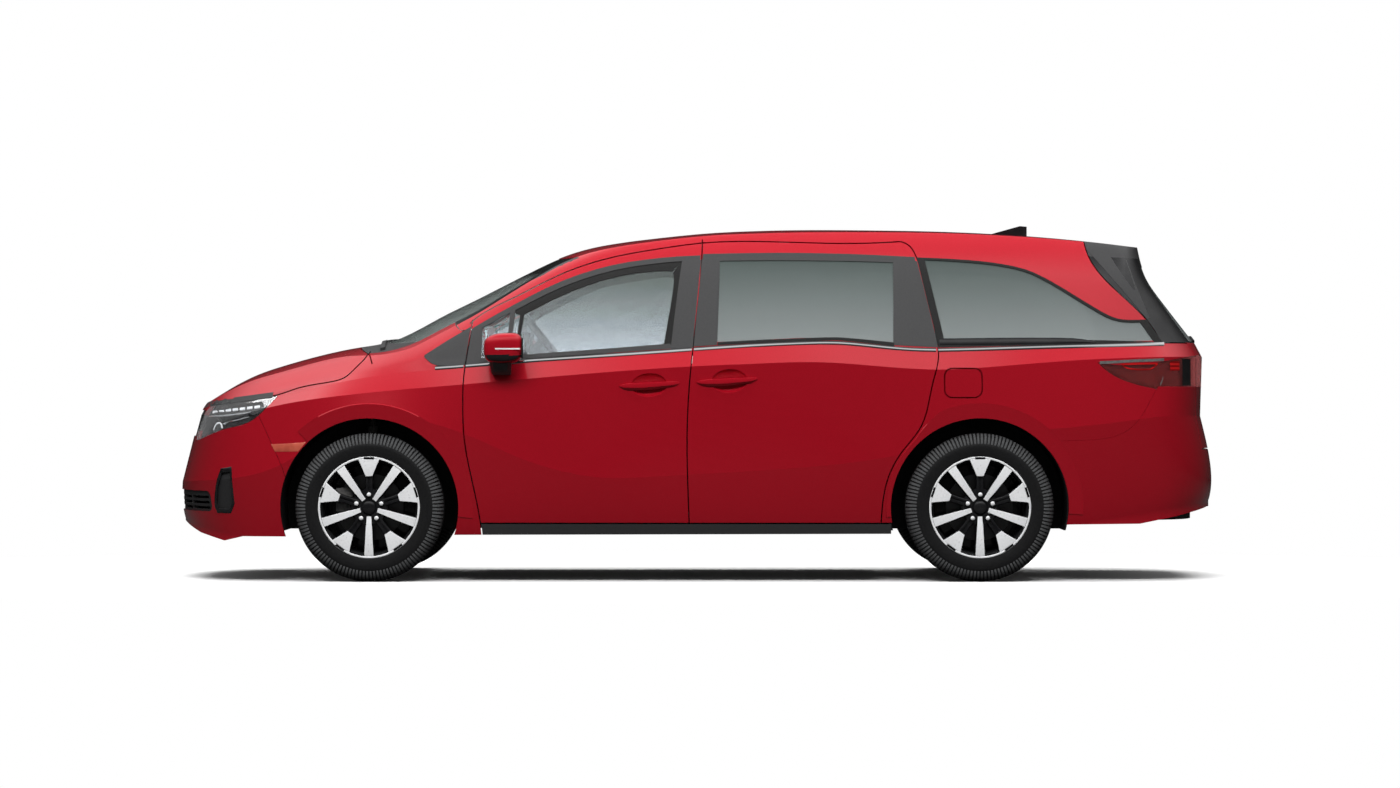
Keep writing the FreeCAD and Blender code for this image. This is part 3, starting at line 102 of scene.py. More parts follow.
# %% Material helpers
def new_material(name, color, rough, **extra):
    material = bpy.data.materials.new(name)
    material.use_nodes = True
    shader = material.node_tree.nodes["Principled BSDF"]
    shader.inputs["Base Color"].default_value = (*color, 1)
    shader.inputs["Roughness"].default_value = rough
    for key, value in extra.items():
        shader.inputs[key.replace("_", " ")].default_value = value
    return material, material.node_tree, shader


def add_node(tree, kind, **values):
    node = tree.nodes.new(kind)
    for key, value in values.items():
        if key in node.inputs:
            node.inputs[key].default_value = value
        else:
            setattr(node, key, value)
    return node


def join(tree, source, output, target, socket):
    tree.links.new(source.outputs[output], target.inputs[socket])


def on_object(tree, kind, **values):
    node = add_node(tree, kind, **values)
    join(tree, add_node(tree, "ShaderNodeTexCoord"), "Object", node, "Vector")
    return node


def object_noise(tree, scale, detail):
    return on_object(tree, "ShaderNodeTexNoise", Scale=scale, Detail=detail, Roughness=0.5)


def bumps(tree, shader, texture, output, strength, distance):
    bump = add_node(tree, "ShaderNodeBump", Strength=strength, Distance=distance)
    join(tree, texture, output, bump, "Height")
    join(tree, bump, "Normal", shader, "Normal")


def two_tone(tree, texture, output, dark, light, low=0.35, high=0.65):
    ramp = add_node(tree, "ShaderNodeValToRGB")
    ramp.color_ramp.elements[0].position = low
    ramp.color_ramp.elements[1].position = high
    ramp.color_ramp.elements[0].color = (*dark, 1)
    ramp.color_ramp.elements[1].color = (*light, 1)
    join(tree, texture, output, ramp, "Fac")
    return ramp


def stretched(tree, source, output, given=(0.0, 1.0), wanted=(0.0, 1.0), kind="LINEAR"):
    spread = add_node(tree, "ShaderNodeMapRange", interpolation_type=kind)
    for word, span in (("From", given), ("To", wanted)):
        spread.inputs[word + " Min"].default_value = span[0]
        spread.inputs[word + " Max"].default_value = span[1]
    join(tree, source, output, spread, "Value")
    return spread


def rough_range(tree, shader, texture, output, low, high):
    spread = stretched(tree, texture, output, wanted=(low, high))
    join(tree, spread, "Result", shader, "Roughness")


def combined(tree, operation, one, one_output, two, two_output):
    node = add_node(tree, "ShaderNodeMath", operation=operation)
    join(tree, one, one_output, node, 0)
    join(tree, two, two_output, node, 1)
    return node


def coloured(tree, shader, tone):
    join(tree, tone, "Color", shader, "Base Color")


# %% [markdown]
# Metallic paint has three layers: a red base with fine flakes, and a clear coat that mirrors the
# studio. The flakes are a very fine cell pattern that shifts the colour and the base's sheen.

# %% Paint
def make_paint():
    material, tree, shader = new_material("red_paint", (0.44, 0.003, 0.014), 0.34, Metallic=0.25,
                                          Coat_Weight=1.0, Coat_Roughness=0.02, Coat_IOR=1.5)
    flakes = on_object(tree, "ShaderNodeTexVoronoi", Scale=900.0)
    coloured(tree, shader, two_tone(tree, flakes, "Color", (0.40, 0.002, 0.011), (0.50, 0.004, 0.018),
                                    0.2, 0.8))
    rough_range(tree, shader, flakes, "Distance", 0.28, 0.40)
    return material


paint = make_paint()
print("paint", paint.name)


# %% [markdown]
# Glass on a family van is lightly tinted in front and dark behind the front doors, and the
# windshield has a shade band along its top. The panes are solid, so the shader may refract. One
# function makes all three kinds, and part of it is plain colour in the glass. A colour ramp runs
# from the foot of a pane to its top. On the windshield it draws the real shade band. On the side
# panes it is painted shade and light: a pale foot that darkens towards the top.

# %% Glass
def make_glass(name, top_tint_and_shade, foot_tint_and_light, weight, band):
    material, tree, shader = new_material(name, top_tint_and_shade, 0.0, Transmission_Weight=weight, IOR=1.38)
    # Painted shade and light on the side panes: the colour is lighter at the foot and darker at the top. On
    # the windshield this ramp is its real shade band.
    level = stretched(tree, on_object(tree, "ShaderNodeSeparateXYZ"), "Z", given=band)
    coloured(tree, shader, two_tone(tree, level, "Result", foot_tint_and_light, top_tint_and_shade, 0.0, 1.0))
    rough_range(tree, shader, object_noise(tree, 3.0, 2.0), "Fac", 0.0, 0.012)
    return material


# The side panes' pale foot and dark top are painted shade and light. The windshield's dark top is its shade
# band.
clear_glass = make_glass("clear_glass", (0.22, 0.255, 0.245), (0.60, 0.65, 0.69), 0.93, (1.12, 1.50))
windshield_glass = make_glass("windshield_glass", (0.02, 0.024, 0.023), (0.38, 0.43, 0.415), 0.86,
                              (1.49, 1.53))
privacy_glass = make_glass("privacy_glass", (0.085, 0.112, 0.105), (0.30, 0.33, 0.33), 0.45, (1.15, 1.60))
print("glass", clear_glass.name, windshield_glass.name, privacy_glass.name)


# %% [markdown]
# The dark parts differ in gloss more than in colour: grained bumper plastic, gloss black trim,
# rubber seals and painted underbody steel.

# %% Plastics, rubber and underbody
def make_grained(name, color, light, rough, scale, depth):
    material, tree, shader = new_material(name, color, rough)
    grain = object_noise(tree, scale, 3.0)
    coloured(tree, shader, two_tone(tree, grain, "Fac", color, light))
    bumps(tree, shader, grain, "Fac", 0.5, depth)
    return material


def make_gloss(name, color, light, rough):
    material, tree, shader = new_material(name, color, rough, Coat_Weight=0.6, Coat_Roughness=0.03)
    drift = object_noise(tree, 14.0, 2.0)
    coloured(tree, shader, two_tone(tree, drift, "Fac", color, light))
    return material


satin_black = make_grained("satin_black", (0.036, 0.036, 0.037), (0.041, 0.041, 0.042), 0.36, 120, 0.00004)
black_plastic = make_grained("black_plastic", (0.022, 0.022, 0.023), (0.035, 0.035, 0.036), 0.55, 420, 0.0004)
gloss_black = make_gloss("gloss_black", (0.008, 0.008, 0.009), (0.014, 0.014, 0.015), 0.12)
seal_rubber = make_grained("seal_rubber", (0.012, 0.012, 0.012), (0.02, 0.02, 0.02), 0.7, 300, 0.0003)
underbody = make_grained("underbody", (0.02, 0.02, 0.021), (0.045, 0.044, 0.043), 0.75, 60, 0.001)
cabin_plastic = make_grained("cabin_plastic", (0.05, 0.05, 0.052), (0.075, 0.075, 0.078), 0.6, 350, 0.0005)
cast_metal = make_grained("cast_metal", (0.09, 0.09, 0.09), (0.16, 0.155, 0.15), 0.6, 90, 0.001)
tyre_rubber = make_grained("tyre_rubber", (0.009, 0.009, 0.0095), (0.014, 0.014, 0.0145), 0.55, 160, 0.0003)
# A lighter copy of the tyre rubber: painted sheen for the tread blocks.
tread_rubber_painted_sheen = make_grained("tread_rubber_painted_sheen", (0.075, 0.077, 0.079), (0.10, 0.102, 0.104), 0.7, 160, 0.0004)


# %% [markdown]
# Bright metal: chrome for the belt line, machined aluminium for the wheel faces, and brushed steel
# for the brake discs. A slow noise varies the polish of each a little, as real metal does.

# %% Metals
def make_chrome():
    material, tree, shader = new_material("chrome", (0.78, 0.79, 0.80), 0.08, Metallic=1.0)
    rough_range(tree, shader, object_noise(tree, 40.0, 2.0), "Fac", 0.05, 0.14)
    return material


def make_wheel_metal():
    material, tree, shader = new_material("wheel_metal", (0.93, 0.94, 0.95), 0.3, Metallic=0.12)
    fine = object_noise(tree, 90.0, 2.0)
    coloured(tree, shader, two_tone(tree, fine, "Fac", (0.90, 0.91, 0.92), (0.96, 0.97, 0.98)))
    rough_range(tree, shader, fine, "Fac", 0.24, 0.34)
    return material


def make_disc_steel():
    material, tree, shader = new_material("disc_steel", (0.20, 0.20, 0.205), 0.4, Metallic=1.0)
    rough_range(tree, shader, object_noise(tree, 180.0, 2.0), "Fac", 0.28, 0.45)
    return material


chrome = make_chrome()
wheel_metal = make_wheel_metal()
disc_steel = make_disc_steel()
print("metals", chrome.name, wheel_metal.name, disc_steel.name)


# %% [markdown]
# Lamps: a head lamp is a clear cover over a dark box, and a tail lamp is a smoked red one. What
# shines inside is white or a ribbed red, and the side marker is amber.

# %% Lamp lenses
def make_lens(name, color, weight):
    material, tree, shader = new_material(name, color, 0.0, Transmission_Weight=weight, IOR=1.25)
    rough_range(tree, shader, object_noise(tree, 6.0, 2.0), "Fac", 0.0, 0.03)
    return material


def make_red_lens():
    material, tree, shader = new_material("red_lens", (0.45, 0.006, 0.008), 0.1, Coat_Weight=1.0,
                                          Coat_Roughness=0.02)
    ribs = on_object(tree, "ShaderNodeTexWave", Scale=16.0, bands_direction="Z")
    coloured(tree, shader, two_tone(tree, ribs, "Color", (0.20, 0.002, 0.003), (0.52, 0.010, 0.010),
                                    0.2, 0.8))
    return material


def make_lit(name, color, strength):
    material, tree, shader = new_material(name, color, 0.3, Emission_Strength=strength)
    glow = object_noise(tree, 30.0, 2.0)
    tone = two_tone(tree, glow, "Fac", tuple(v * 0.85 for v in color), color)
    join(tree, tone, "Color", shader, "Emission Color")
    coloured(tree, shader, tone)
    return material


lamp_cover = make_lens("lamp_cover", (0.66, 0.67, 0.68), 1.0)
tail_cover = make_lens("tail_cover", (0.72, 0.27, 0.27), 0.97)
lamp_dark = make_grained("lamp_dark", (0.008, 0.008, 0.009), (0.018, 0.018, 0.019), 0.6, 60.0, 0.0002)
tail_dark = make_gloss("tail_dark", (0.05, 0.018, 0.018), (0.085, 0.024, 0.024), 0.3)
light_white = make_lit("light_white", (0.9, 0.92, 0.95), 0.7)
red_lens = make_red_lens()
amber = make_gloss("amber_lens", (0.42, 0.075, 0.045), (0.62, 0.13, 0.08), 0.25)


# %% [markdown]
# Seats are covered in grained leather. A cell pattern gives both the grain and its bumps.

# %% Leather
def make_leather():
    material, tree, shader = new_material("seat_leather", (0.10, 0.095, 0.09), 0.5)
    cells = on_object(tree, "ShaderNodeTexVoronoi", Scale=240.0)
    coloured(tree, shader, two_tone(tree, cells, "Distance", (0.13, 0.125, 0.12), (0.09, 0.085, 0.08),
                                    0.1, 0.7))
    bumps(tree, shader, cells, "Distance", 0.35, 0.0006)
    return material


leather = make_leather()

# %% [markdown]
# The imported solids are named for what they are, so a word in the name picks the finish. The first
# word that fits wins, and all that is left is painted sheet metal.

# %% Which finish each node takes
FINISH_WORDS = [
    ("front_door_glass", clear_glass), ("windshield", windshield_glass), ("glass", privacy_glass),
    ("tyre", tyre_rubber), ("rim_", wheel_metal), ("brake_disc", disc_steel), ("knuckle", cast_metal),
    ("engine", cast_metal), ("headlamps", lamp_cover), ("lamps", red_lens), ("sail", satin_black),
    ("spoiler", satin_black), ("roof_fin", gloss_black), ("cowl", black_plastic), ("sill", satin_black),
    ("liners", black_plastic), ("grilles", black_plastic), ("wiper", black_plastic),
    ("floor", underbody), ("subframe", underbody), ("strut", underbody), ("axle", underbody),
    ("radiator", underbody), ("dashboard", cabin_plastic), ("console", cabin_plastic),
    ("steering", cabin_plastic), ("seats", leather),
]


def finish_of(name):
    return next((finish for word, finish in FINISH_WORDS if word in name), paint)


for name, node in nodes.items():
    node.data.materials.clear()
    node.data.materials.append(finish_of(name))
print("dressed", len(nodes), "nodes")

# %% [markdown]
# ## The body's true surface
# A packed panel is a mesh of long thin triangles, and glossy paint shows every one of them. The real
# surface is a smooth skin drawn through a few guide lines. The next cells draw that skin again as a
# dense grid, and each panel's corners then borrow its exact directions, so reflections run clean.

# %% Guide lines of the skin, in millimetres
SKIN = {
    "under": ([(-2600, 850), (-2050, 905), (-1100, 922), (1400, 922), (2050, 905), (2600, 850)],
              [(-2600, 300), (-2232, 225), (-1100, 235), (1100, 240), (1840, 281), (2500, 385), (2610, 390)],
              (-2592, 2590)),
    "low": ([(-2600, 870), (-2050, 935), (-1100, 950), (1400, 950), (2050, 935), (2600, 870)],
            [(-2600, 370), (-2050, 340), (-1100, 330), (1100, 335), (1840, 400), (2300, 470), (2610, 500)],
            (-2612, 2628)),
    "flare": ([(-2600, 880), (-2050, 968), (-1604, 996), (-1200, 990), (-600, 985), (500, 988),
               (1000, 992), (1395, 996), (2050, 972), (2600, 890)],
              [(-2600, 480), (-2050, 560), (-1602, 830), (-1370, 800), (-1140, 735), (-850, 600),
               (-500, 512), (-100, 525), (350, 550), (800, 590), (1190, 660), (1500, 725),
               (2050, 780), (2265, 812), (2600, 812)],
              (-2606.5, 2545)),
    "shoulder": ([(-2600, 850), (-2050, 940), (-1100, 974), (1400, 978), (2050, 945), (2600, 860)],
                 [(-2600, 700), (-2050, 870), (-1602, 930), (-1140, 970), (-466, 1028), (-38, 1058),
                  (314, 1072), (600, 1082), (887, 1060), (1190, 1040), (1500, 1060), (1800, 1085),
                  (2395, 1107), (2600, 1107)],
                 (-2545, 2556)),
    "belt": ([(-2600, 780), (-2050, 830), (-1602, 885), (-1275, 918), (-100, 935), (1400, 928),
              (2050, 890), (2600, 820)],
             [(-2600, 800), (-2050, 915), (-1602, 1010), (-1275, 1044), (-1137, 1063), (-840, 1087),
              (-18, 1140), (314, 1165), (686, 1187), (1032, 1150), (1190, 1144), (2395, 1172),
              (2600, 1180)],
             (-2520, 2520)),
    "cant": ([(-2600, 700), (-2050, 740), (-1602, 820), (-1370, 878), (-1140, 862), (-850, 826),
              (-500, 790), (-100, 768), (350, 760), (1190, 757), (2050, 735), (2600, 700)],
             [(-2600, 840), (-2050, 945), (-1602, 1060), (-1370, 1100), (-1140, 1225), (-850, 1390),
              (-500, 1530), (-100, 1608), (350, 1625), (1190, 1610), (1800, 1555), (2050, 1520),
              (2300, 1505), (2600, 1500)],
             (-2500, 2262)),
    "rail": ([(-2600, 620), (-2050, 640), (-1602, 700), (-1370, 745), (-1140, 745), (-850, 725),
              (-500, 690), (-100, 668), (350, 658), (1190, 652), (2050, 636), (2600, 600)],
             [(-2600, 860), (-2050, 1015), (-1602, 1135), (-1370, 1205), (-1140, 1318), (-850, 1478),
              (-500, 1630), (-100, 1700), (350, 1727), (800, 1732), (1190, 1726), (1800, 1694),
              (2050, 1668), (2300, 1650), (2600, 1645)],
             (-2470, 2232)),
}
RIDGE = [(-2700, 800), (-2504, 862), (-2402, 930), (-2300, 992), (-2198, 1039), (-2095, 1071),
         (-1993, 1101), (-1891, 1127), (-1789, 1150), (-1687, 1168), (-1600, 1178),
         (-1500, 1212), (-1283, 1330), (-1075, 1430), (-940, 1500), (-766, 1585), (-690, 1620),
         (-562, 1661), (-358, 1697), (-153, 1721), (51, 1741), (358, 1755), (869, 1756),
         (1380, 1743), (1789, 1716), (2096, 1684), (2250, 1664), (2700, 1640)]
CROWN = [(-2700, 40), (-2400, 50), (-2050, 62), (-1700, 52), (-1600, 55), (-1370, 84), (-1140, 84),
         (-850, 68), (-500, 42), (-100, 33), (350, 34), (1190, 28), (2050, 24), (2700, 22)]


# %% Smooth curves and spline surfaces
def smooth_curve(points):
    xs, ys = np.array(points, float).T
    rises = np.diff(ys) / np.diff(xs)
    gaps = np.diff(xs)
    inner = (rises[:-1] * gaps[1:] + rises[1:] * gaps[:-1]) / (gaps[:-1] + gaps[1:])
    slopes = np.concatenate([rises[:1], inner, rises[-1:]])

    def value(x):
        x = min(max(x, xs[0]), xs[-1])
        i = min(max(int(np.searchsorted(xs, x, side="left")) - 1, 0), len(xs) - 2)
        h = gaps[i]
        t = (x - xs[i]) / h
        rest = 1 - t
        return (ys[i] * rest * rest * (1 + 2 * t) + ys[i + 1] * t * t * (1 + 2 * rest)
                + h * t * rest * (slopes[i] * rest - slopes[i + 1] * t))
    return value


def spline_weights(count, degree, places):
    spans = count - degree
    knots = np.array([0.0] * degree + list(range(spans + 1)) + [float(spans)] * degree)
    t = np.clip(np.asarray(places) * spans, 0, spans - 1e-9)
    table = np.zeros((len(t), len(knots) - 1))
    for i in range(len(knots) - 1):
        table[:, i] = (t >= knots[i]) & (t < knots[i + 1])
    for d in range(1, degree + 1):
        grown = np.zeros((len(t), len(knots) - 1 - d))
        for i in range(len(knots) - 1 - d):
            left = knots[i + d] - knots[i]
            right = knots[i + d + 1] - knots[i + 1]
            if left > 0:
                grown[:, i] += (t - knots[i]) / left * table[:, i]
            if right > 0:
                grown[:, i] += (knots[i + d + 1] - t) / right * table[:, i + 1]
        table = grown
    return table


def spline_grid(rows, across, along):
    poles = np.array(rows, float)
    degree = min(3, len(rows) - 1)

    def at(u, v):
        return np.einsum("ai,bj,ijk->abk", spline_weights(poles.shape[0], degree, u),
                         spline_weights(poles.shape[1], 3, v), poles)
    u = np.linspace(0, 1, across)
    v = np.linspace(0, 1, along)
    step = 1e-4
    du = at(np.clip(u + step, 0, 1), v) - at(np.clip(u - step, 0, 1), v)
    dv = at(u, np.clip(v + step, 0, 1)) - at(u, np.clip(v - step, 0, 1))
    normal = np.cross(dv, du)
    normal /= np.linalg.norm(normal, axis=2, keepdims=True) + 1e-12
    return at(u, v), normal


# %% The guide rows, as the solid model draws them
NOSE_START, TAIL_START = -2050, 2050
NOSE_POWER, TAIL_POWER = 2 / 2.5, 2 / 3.4
NOSE_PARTS, SIDE_PARTS, TAIL_PARTS = 8, 24, 7
HALF_WIDTH = 997
ROOF_REACH, CROWN_PLACE = 3000, 690


def guide_row(key):
    widths, heights, ends = SKIN[key]
    wide = smooth_curve(widths)
    high = smooth_curve(heights)
    row = []
    for k in range(NOSE_PARTS + 1):
        angle = (1 - k / NOSE_PARTS) * math.pi / 2
        x = NOSE_START + (ends[0] - NOSE_START) * math.sin(angle) ** NOSE_POWER
        y = wide(x) * max(math.cos(angle), 0) ** NOSE_POWER
        x = ends[0] if k < 2 else x
        row.append((x, 0 if k == 0 else -y, high(x)))
    for k in range(1, SIDE_PARTS + 1):
        x = NOSE_START + (TAIL_START - NOSE_START) * k / SIDE_PARTS
        row.append((x, -wide(x), high(x)))
    for k in range(1, TAIL_PARTS + 1):
        angle = k / TAIL_PARTS * math.pi / 2
        x = TAIL_START + (ends[1] - TAIL_START) * math.sin(angle) ** TAIL_POWER
        y = wide(x) * max(math.cos(angle), 0) ** TAIL_POWER
        x = ends[1] if k > 5 else x
        row.append((x, 0 if k == TAIL_PARTS else -y, high(x)))
    return np.array(row)


rows = {key: guide_row(key) for key in SKIN}
above = []
for inward, up in ((0.13, 0.035), (0.3, 0.06), (0.42, 0.3)):
    lifted = rows["rail"].copy()
    lifted[:, 1] *= 1 - inward
    lifted[:, 2] += HALF_WIDTH * up
    above.append(lifted)


def between(one, two, share):
    return one + (two - one) * share


patches = [
    [rows["under"], rows["low"], between(rows["low"], rows["flare"], 0.5), rows["flare"]],
    [rows["flare"], between(rows["flare"], rows["shoulder"], 1 / 3),
     between(rows["flare"], rows["shoulder"], 2 / 3), rows["shoulder"]],
    [rows["shoulder"], rows["belt"]],
    [rows["belt"], between(rows["belt"], rows["cant"], 1 / 3), between(rows["belt"], rows["cant"], 2 / 3),
     rows["cant"], rows["rail"]] + above,
]
ridge = smooth_curve(RIDGE)
crown = smooth_curve(CROWN)
ridge_rows = []
for j in range(9):
    y = HALF_WIDTH * (2 * j / 8 - 1)
    places = [ROOF_REACH * (2 * i / 60 - 1) for i in range(61)]
    ridge_rows.append([(x, y, ridge(x) - crown(x) * (y / CROWN_PLACE) ** 2) for x in places])
print("skin patches", len(patches) + 1)


# %% A search tree over the dense skin
SIDE_GRID = (28, 420)
ROOF_GRID = (90, 500)


def dense_skin():
    points, normals, faces = [], [], []
    for patch, (across, along) in [(p, SIDE_GRID) for p in patches] + [(ridge_rows, ROOF_GRID)]:
        spot, normal = spline_grid(patch, across, along)
        if patch is ridge_rows:
            normal = normal * np.sign(normal[..., 2:3])
        else:
            out = spot * np.array([1.0, 1.0, 0.0])
            normal = normal * np.sign(np.sum(normal * out, axis=2, keepdims=True) + 1e-9)
        base = sum(len(p) for p in points)
        index = base + np.arange(across * along).reshape(across, along)
        a, b, c, d = index[:-1, :-1], index[1:, :-1], index[1:, 1:], index[:-1, 1:]
        faces.append(np.stack([a, b, c], -1).reshape(-1, 3))
        faces.append(np.stack([a, c, d], -1).reshape(-1, 3))
        points.append(spot.reshape(-1, 3) / 1000)
        normals.append(normal.reshape(-1, 3))
    points, normals, faces = np.concatenate(points), np.concatenate(normals), np.concatenate(faces)
    tree = BVHTree.FromPolygons(points.tolist(), faces.tolist())
    side_count = len(patches) * 2 * (SIDE_GRID[0] - 1) * (SIDE_GRID[1] - 1)
    side_tree = BVHTree.FromPolygons(points.tolist(), faces[:side_count].tolist())
    return points, normals, faces, tree, side_tree


skin_points, skin_normals, skin_faces, skin_tree, side_tree = dense_skin()
print("skin triangles", len(skin_faces))


def skin_direction(index, spot):
    a, b, c = skin_faces[index]
    pa, pb, pc = skin_points[a], skin_points[b], skin_points[c]
    ab, ac, ap = pb - pa, pc - pa, np.array(spot) - pa
    d00, d01, d11 = ab @ ab, ab @ ac, ac @ ac
    d20, d21 = ap @ ab, ap @ ac
    size = d00 * d11 - d01 * d01
    v = (d11 * d20 - d01 * d21) / size
    w = (d00 * d21 - d01 * d20) / size
    normal = skin_normals[a] * (1 - v - w) + skin_normals[b] * v + skin_normals[c] * w
    return normal / (np.linalg.norm(normal) + 1e-12)


# %% [markdown]
# Each door handle bridges a shallow bowl, deep enough for fingers. A bowl is a sunk part of the
# sheet metal, so an egg shape is cut from the panel's copy, and the corners on the cut take the
# egg's own directions so that the bowl shades softly.

# %% Finger bowls behind the handles
BOWL_HALF = (0.090, 0.030, 0.060)
BOWL_TILT = Matrix.Rotation(math.radians(-3.5), 3, "Y")
BOWLS = {"front_door": (-229, 966), "sliding_doors": (165, 986)}


def bowl_centre(place, side):
    spot, _, _, _ = side_tree.ray_cast(Vector((place[0] / 1000, -2, place[1] / 1000)), Vector((0, 1, 0)))
    return Vector((spot.x, (spot.y - 0.006) * -side, spot.z))


def egg(centre):
    work = bmesh.new()
    bmesh.ops.create_uvsphere(work, u_segments=48, v_segments=32, radius=1.0)
    bmesh.ops.scale(work, vec=BOWL_HALF, verts=work.verts)
    bmesh.ops.rotate(work, cent=(0, 0, 0), matrix=BOWL_TILT, verts=work.verts)
    bmesh.ops.translate(work, vec=centre, verts=work.verts)
    mesh = bpy.data.meshes.new("bowl")
    work.to_mesh(mesh)
    work.free()
    return in_scene("bowl", mesh)


def bowls_of(name):
    for word, place in BOWLS.items():
        if name.startswith(word) and "glass" not in name and "handle" not in name:
            sides = {"front_door_left": [-1], "front_door_right": [1]}.get(name, [-1, 1])
            return [bowl_centre(place, side) for side in sides]
    return []


def evaluated_mesh(holder):
    return bpy.data.meshes.new_from_object(holder.evaluated_get(bpy.context.evaluated_depsgraph_get()))


def cut_bowls(mesh, centres):
    holder = in_scene("holder", mesh)
    tools = [egg(centre) for centre in centres]
    for tool in tools:
        cut = holder.modifiers.new("cut", "BOOLEAN")
        cut.operation = "DIFFERENCE"
        cut.solver = "EXACT"
        cut.object = tool
    result = evaluated_mesh(holder)
    for thing in tools + [holder]:
        bpy.data.objects.remove(thing)
    return result


def egg_direction(centres, spot):
    for centre in centres:
        away = Vector(spot) - centre
        away.rotate(BOWL_TILT.transposed())
        scaled = Vector([away[k] / BOWL_HALF[k] for k in range(3)])
        if 0.97 < scaled.length < 1.03:
            normal = Vector([-scaled[k] / BOWL_HALF[k] for k in range(3)]).normalized()
            normal.rotate(BOWL_TILT)
            return np.array(normal)
    return None


print("bowls at", [tuple(round(v, 3) for v in c) for c in bowls_of("front_door_left")])


# %% [markdown]
# A panel's copy gets its loose triangles merged, then every corner that lies on the skin takes the
# skin's direction. Corners on cut edges and inside walls keep the flat direction of their own face.

# %% Merge a panel's copy and pick out its black parts: black trim and painted shade
BLACK_ABOVE = {"tailgate": 1.178}
# Sideways faces at window height on the doors and side frames turn gloss black. Round the window openings
# this is black trim. On the door gap faces, which are red on the real car, it is painted shade.
TRIM_AND_SHADE_EDGES = ("front_door_left", "front_door_right", "sliding_doors", "side_frame_left", "side_frame_right")
EDGE_FOOT, EDGE_TOP, EDGE_REAR = 1.145, 1.60, 2.32


def merged_panel(name):
    mesh = nodes[name].data.copy()
    mesh.name = name + "_smooth"
    if name in BLACK_ABOVE or name in TRIM_AND_SHADE_EDGES:
        mesh.materials.append(gloss_black)
    work = bmesh.new()
    work.from_mesh(mesh)
    bmesh.ops.remove_doubles(work, verts=work.verts, dist=1e-5)
    bmesh.ops.dissolve_degenerate(work, edges=work.edges, dist=1e-6)
    if name in BLACK_ABOVE:
        height = BLACK_ABOVE[name]
        bmesh.ops.bisect_plane(work, geom=work.verts[:] + work.edges[:] + work.faces[:], dist=1e-6,
                               plane_co=(0, 0, height), plane_no=(0, 0, 1))
        for face in work.faces:
            if face.calc_center_median().z > height:
                face.material_index = 1
    # Painted shade on the door gap faces and black trim round the windows: these sideways faces turn gloss
    # black.
    if name in TRIM_AND_SHADE_EDGES:
        work.normal_update()
        for face in work.faces:
            middle = face.calc_center_median()
            if abs(face.normal.y) < 0.5 and EDGE_FOOT < middle.z < EDGE_TOP and middle.x < EDGE_REAR:
                face.material_index = 1
    work.to_mesh(mesh)
    work.free()
    bowls = bowls_of(name)
    if bowls:
        mesh = cut_bowls(mesh, bowls)
        mesh.name = name + "_smooth"
    mesh.shade_smooth()
    return mesh, bowls


# %% Give each corner the skin's own direction
SKIN_REACH = 0.012
INWARD = 0.002
SAME_WAY = 0.93
IN_BOWL = 0.8


def skin_shading(mesh, bowls):
    count = len(mesh.loops)
    corner = np.empty(count, int)
    mesh.loops.foreach_get("vertex_index", corner)
    spots = np.empty(len(mesh.vertices) * 3)
    mesh.vertices.foreach_get("co", spots)
    spots = spots.reshape(-1, 3)
    face_of = np.empty(count, int)
    centres = np.empty((len(mesh.polygons), 3))
    flats = np.empty((len(mesh.polygons), 3))
    for poly in mesh.polygons:
        face_of[poly.loop_start:poly.loop_start + poly.loop_total] = poly.index
        centres[poly.index] = poly.center
        flats[poly.index] = poly.normal
    at = spots[corner]
    toward = centres[face_of] - at
    far = np.linalg.norm(toward, axis=1, keepdims=True) + 1e-12
    at = at + toward / far * np.minimum(far * 0.2, INWARD)
    result = flats[face_of].copy()
    side = np.where(at[:, 1] > 0, -1.0, 1.0)
    at[:, 1] *= side
    for i in range(count):
        spot, _, index, away = skin_tree.find_nearest(at[i])
        if spot is None or away > SKIN_REACH:
            continue
        normal = skin_direction(index, spot)
        normal[1] *= side[i]
        if normal @ result[i] > SAME_WAY:
            result[i] = normal
    if bowls:
        for i in range(count):
            normal = egg_direction(bowls, spots[corner[i]])
            if normal is not None and normal @ flats[face_of[i]] > IN_BOWL:
                result[i] = normal
    mesh.normals_split_custom_set(result.tolist())


def panel_copy(name):
    mesh, bowls = merged_panel(name)
    skin_shading(mesh, bowls)
    copy = in_scene(name + "_panel", mesh)
    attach(copy, nodes[name]["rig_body"])
    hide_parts(name)


panel_names = ["front_door_left", "front_door_right", "sliding_doors", "fenders", "hood", "front_bumper",
               "side_frame_left", "side_frame_right", "roof_panel", "rear_bumper", "tailgate", "spoiler",
               "windshield", "front_door_glass_left", "front_door_glass_right", "sliding_door_glass",
               "quarter_glass", "tailgate_glass", "fuel_door", "cowl_panel", "sail_panels"]
for name in panel_names:
    panel_copy(name)
print("smooth panels", len(panel_names))

# %% [markdown]
# ## Trim that follows the side
# Window frames, the chrome line and the seals all lie on the same curved side. Each one is drawn
# flat, as two edges in side view, and then laid on the skin: every point is shot sideways onto the
# surface and lifted along its direction. One function makes them all, for both sides of the car.
# The edges are in millimetres, as they were measured, and a finished mesh is in metres.

# %% Lay a strip on the side
def soften(points, parts=4):
    points = [np.array(p, float) for p in points]
    line = []
    for i in range(len(points) - 1):
        a, b = points[max(i - 1, 0)], points[i]
        c, d = points[i + 1], points[min(i + 2, len(points) - 1)]
        for k in range(parts):
            t = k / parts
            line.append(0.5 * (2 * b + (c - a) * t + (2 * a - 5 * b + 4 * c - d) * t * t
                               + (3 * b - a - 3 * c + d) * t ** 3))
    return line + [points[-1]]


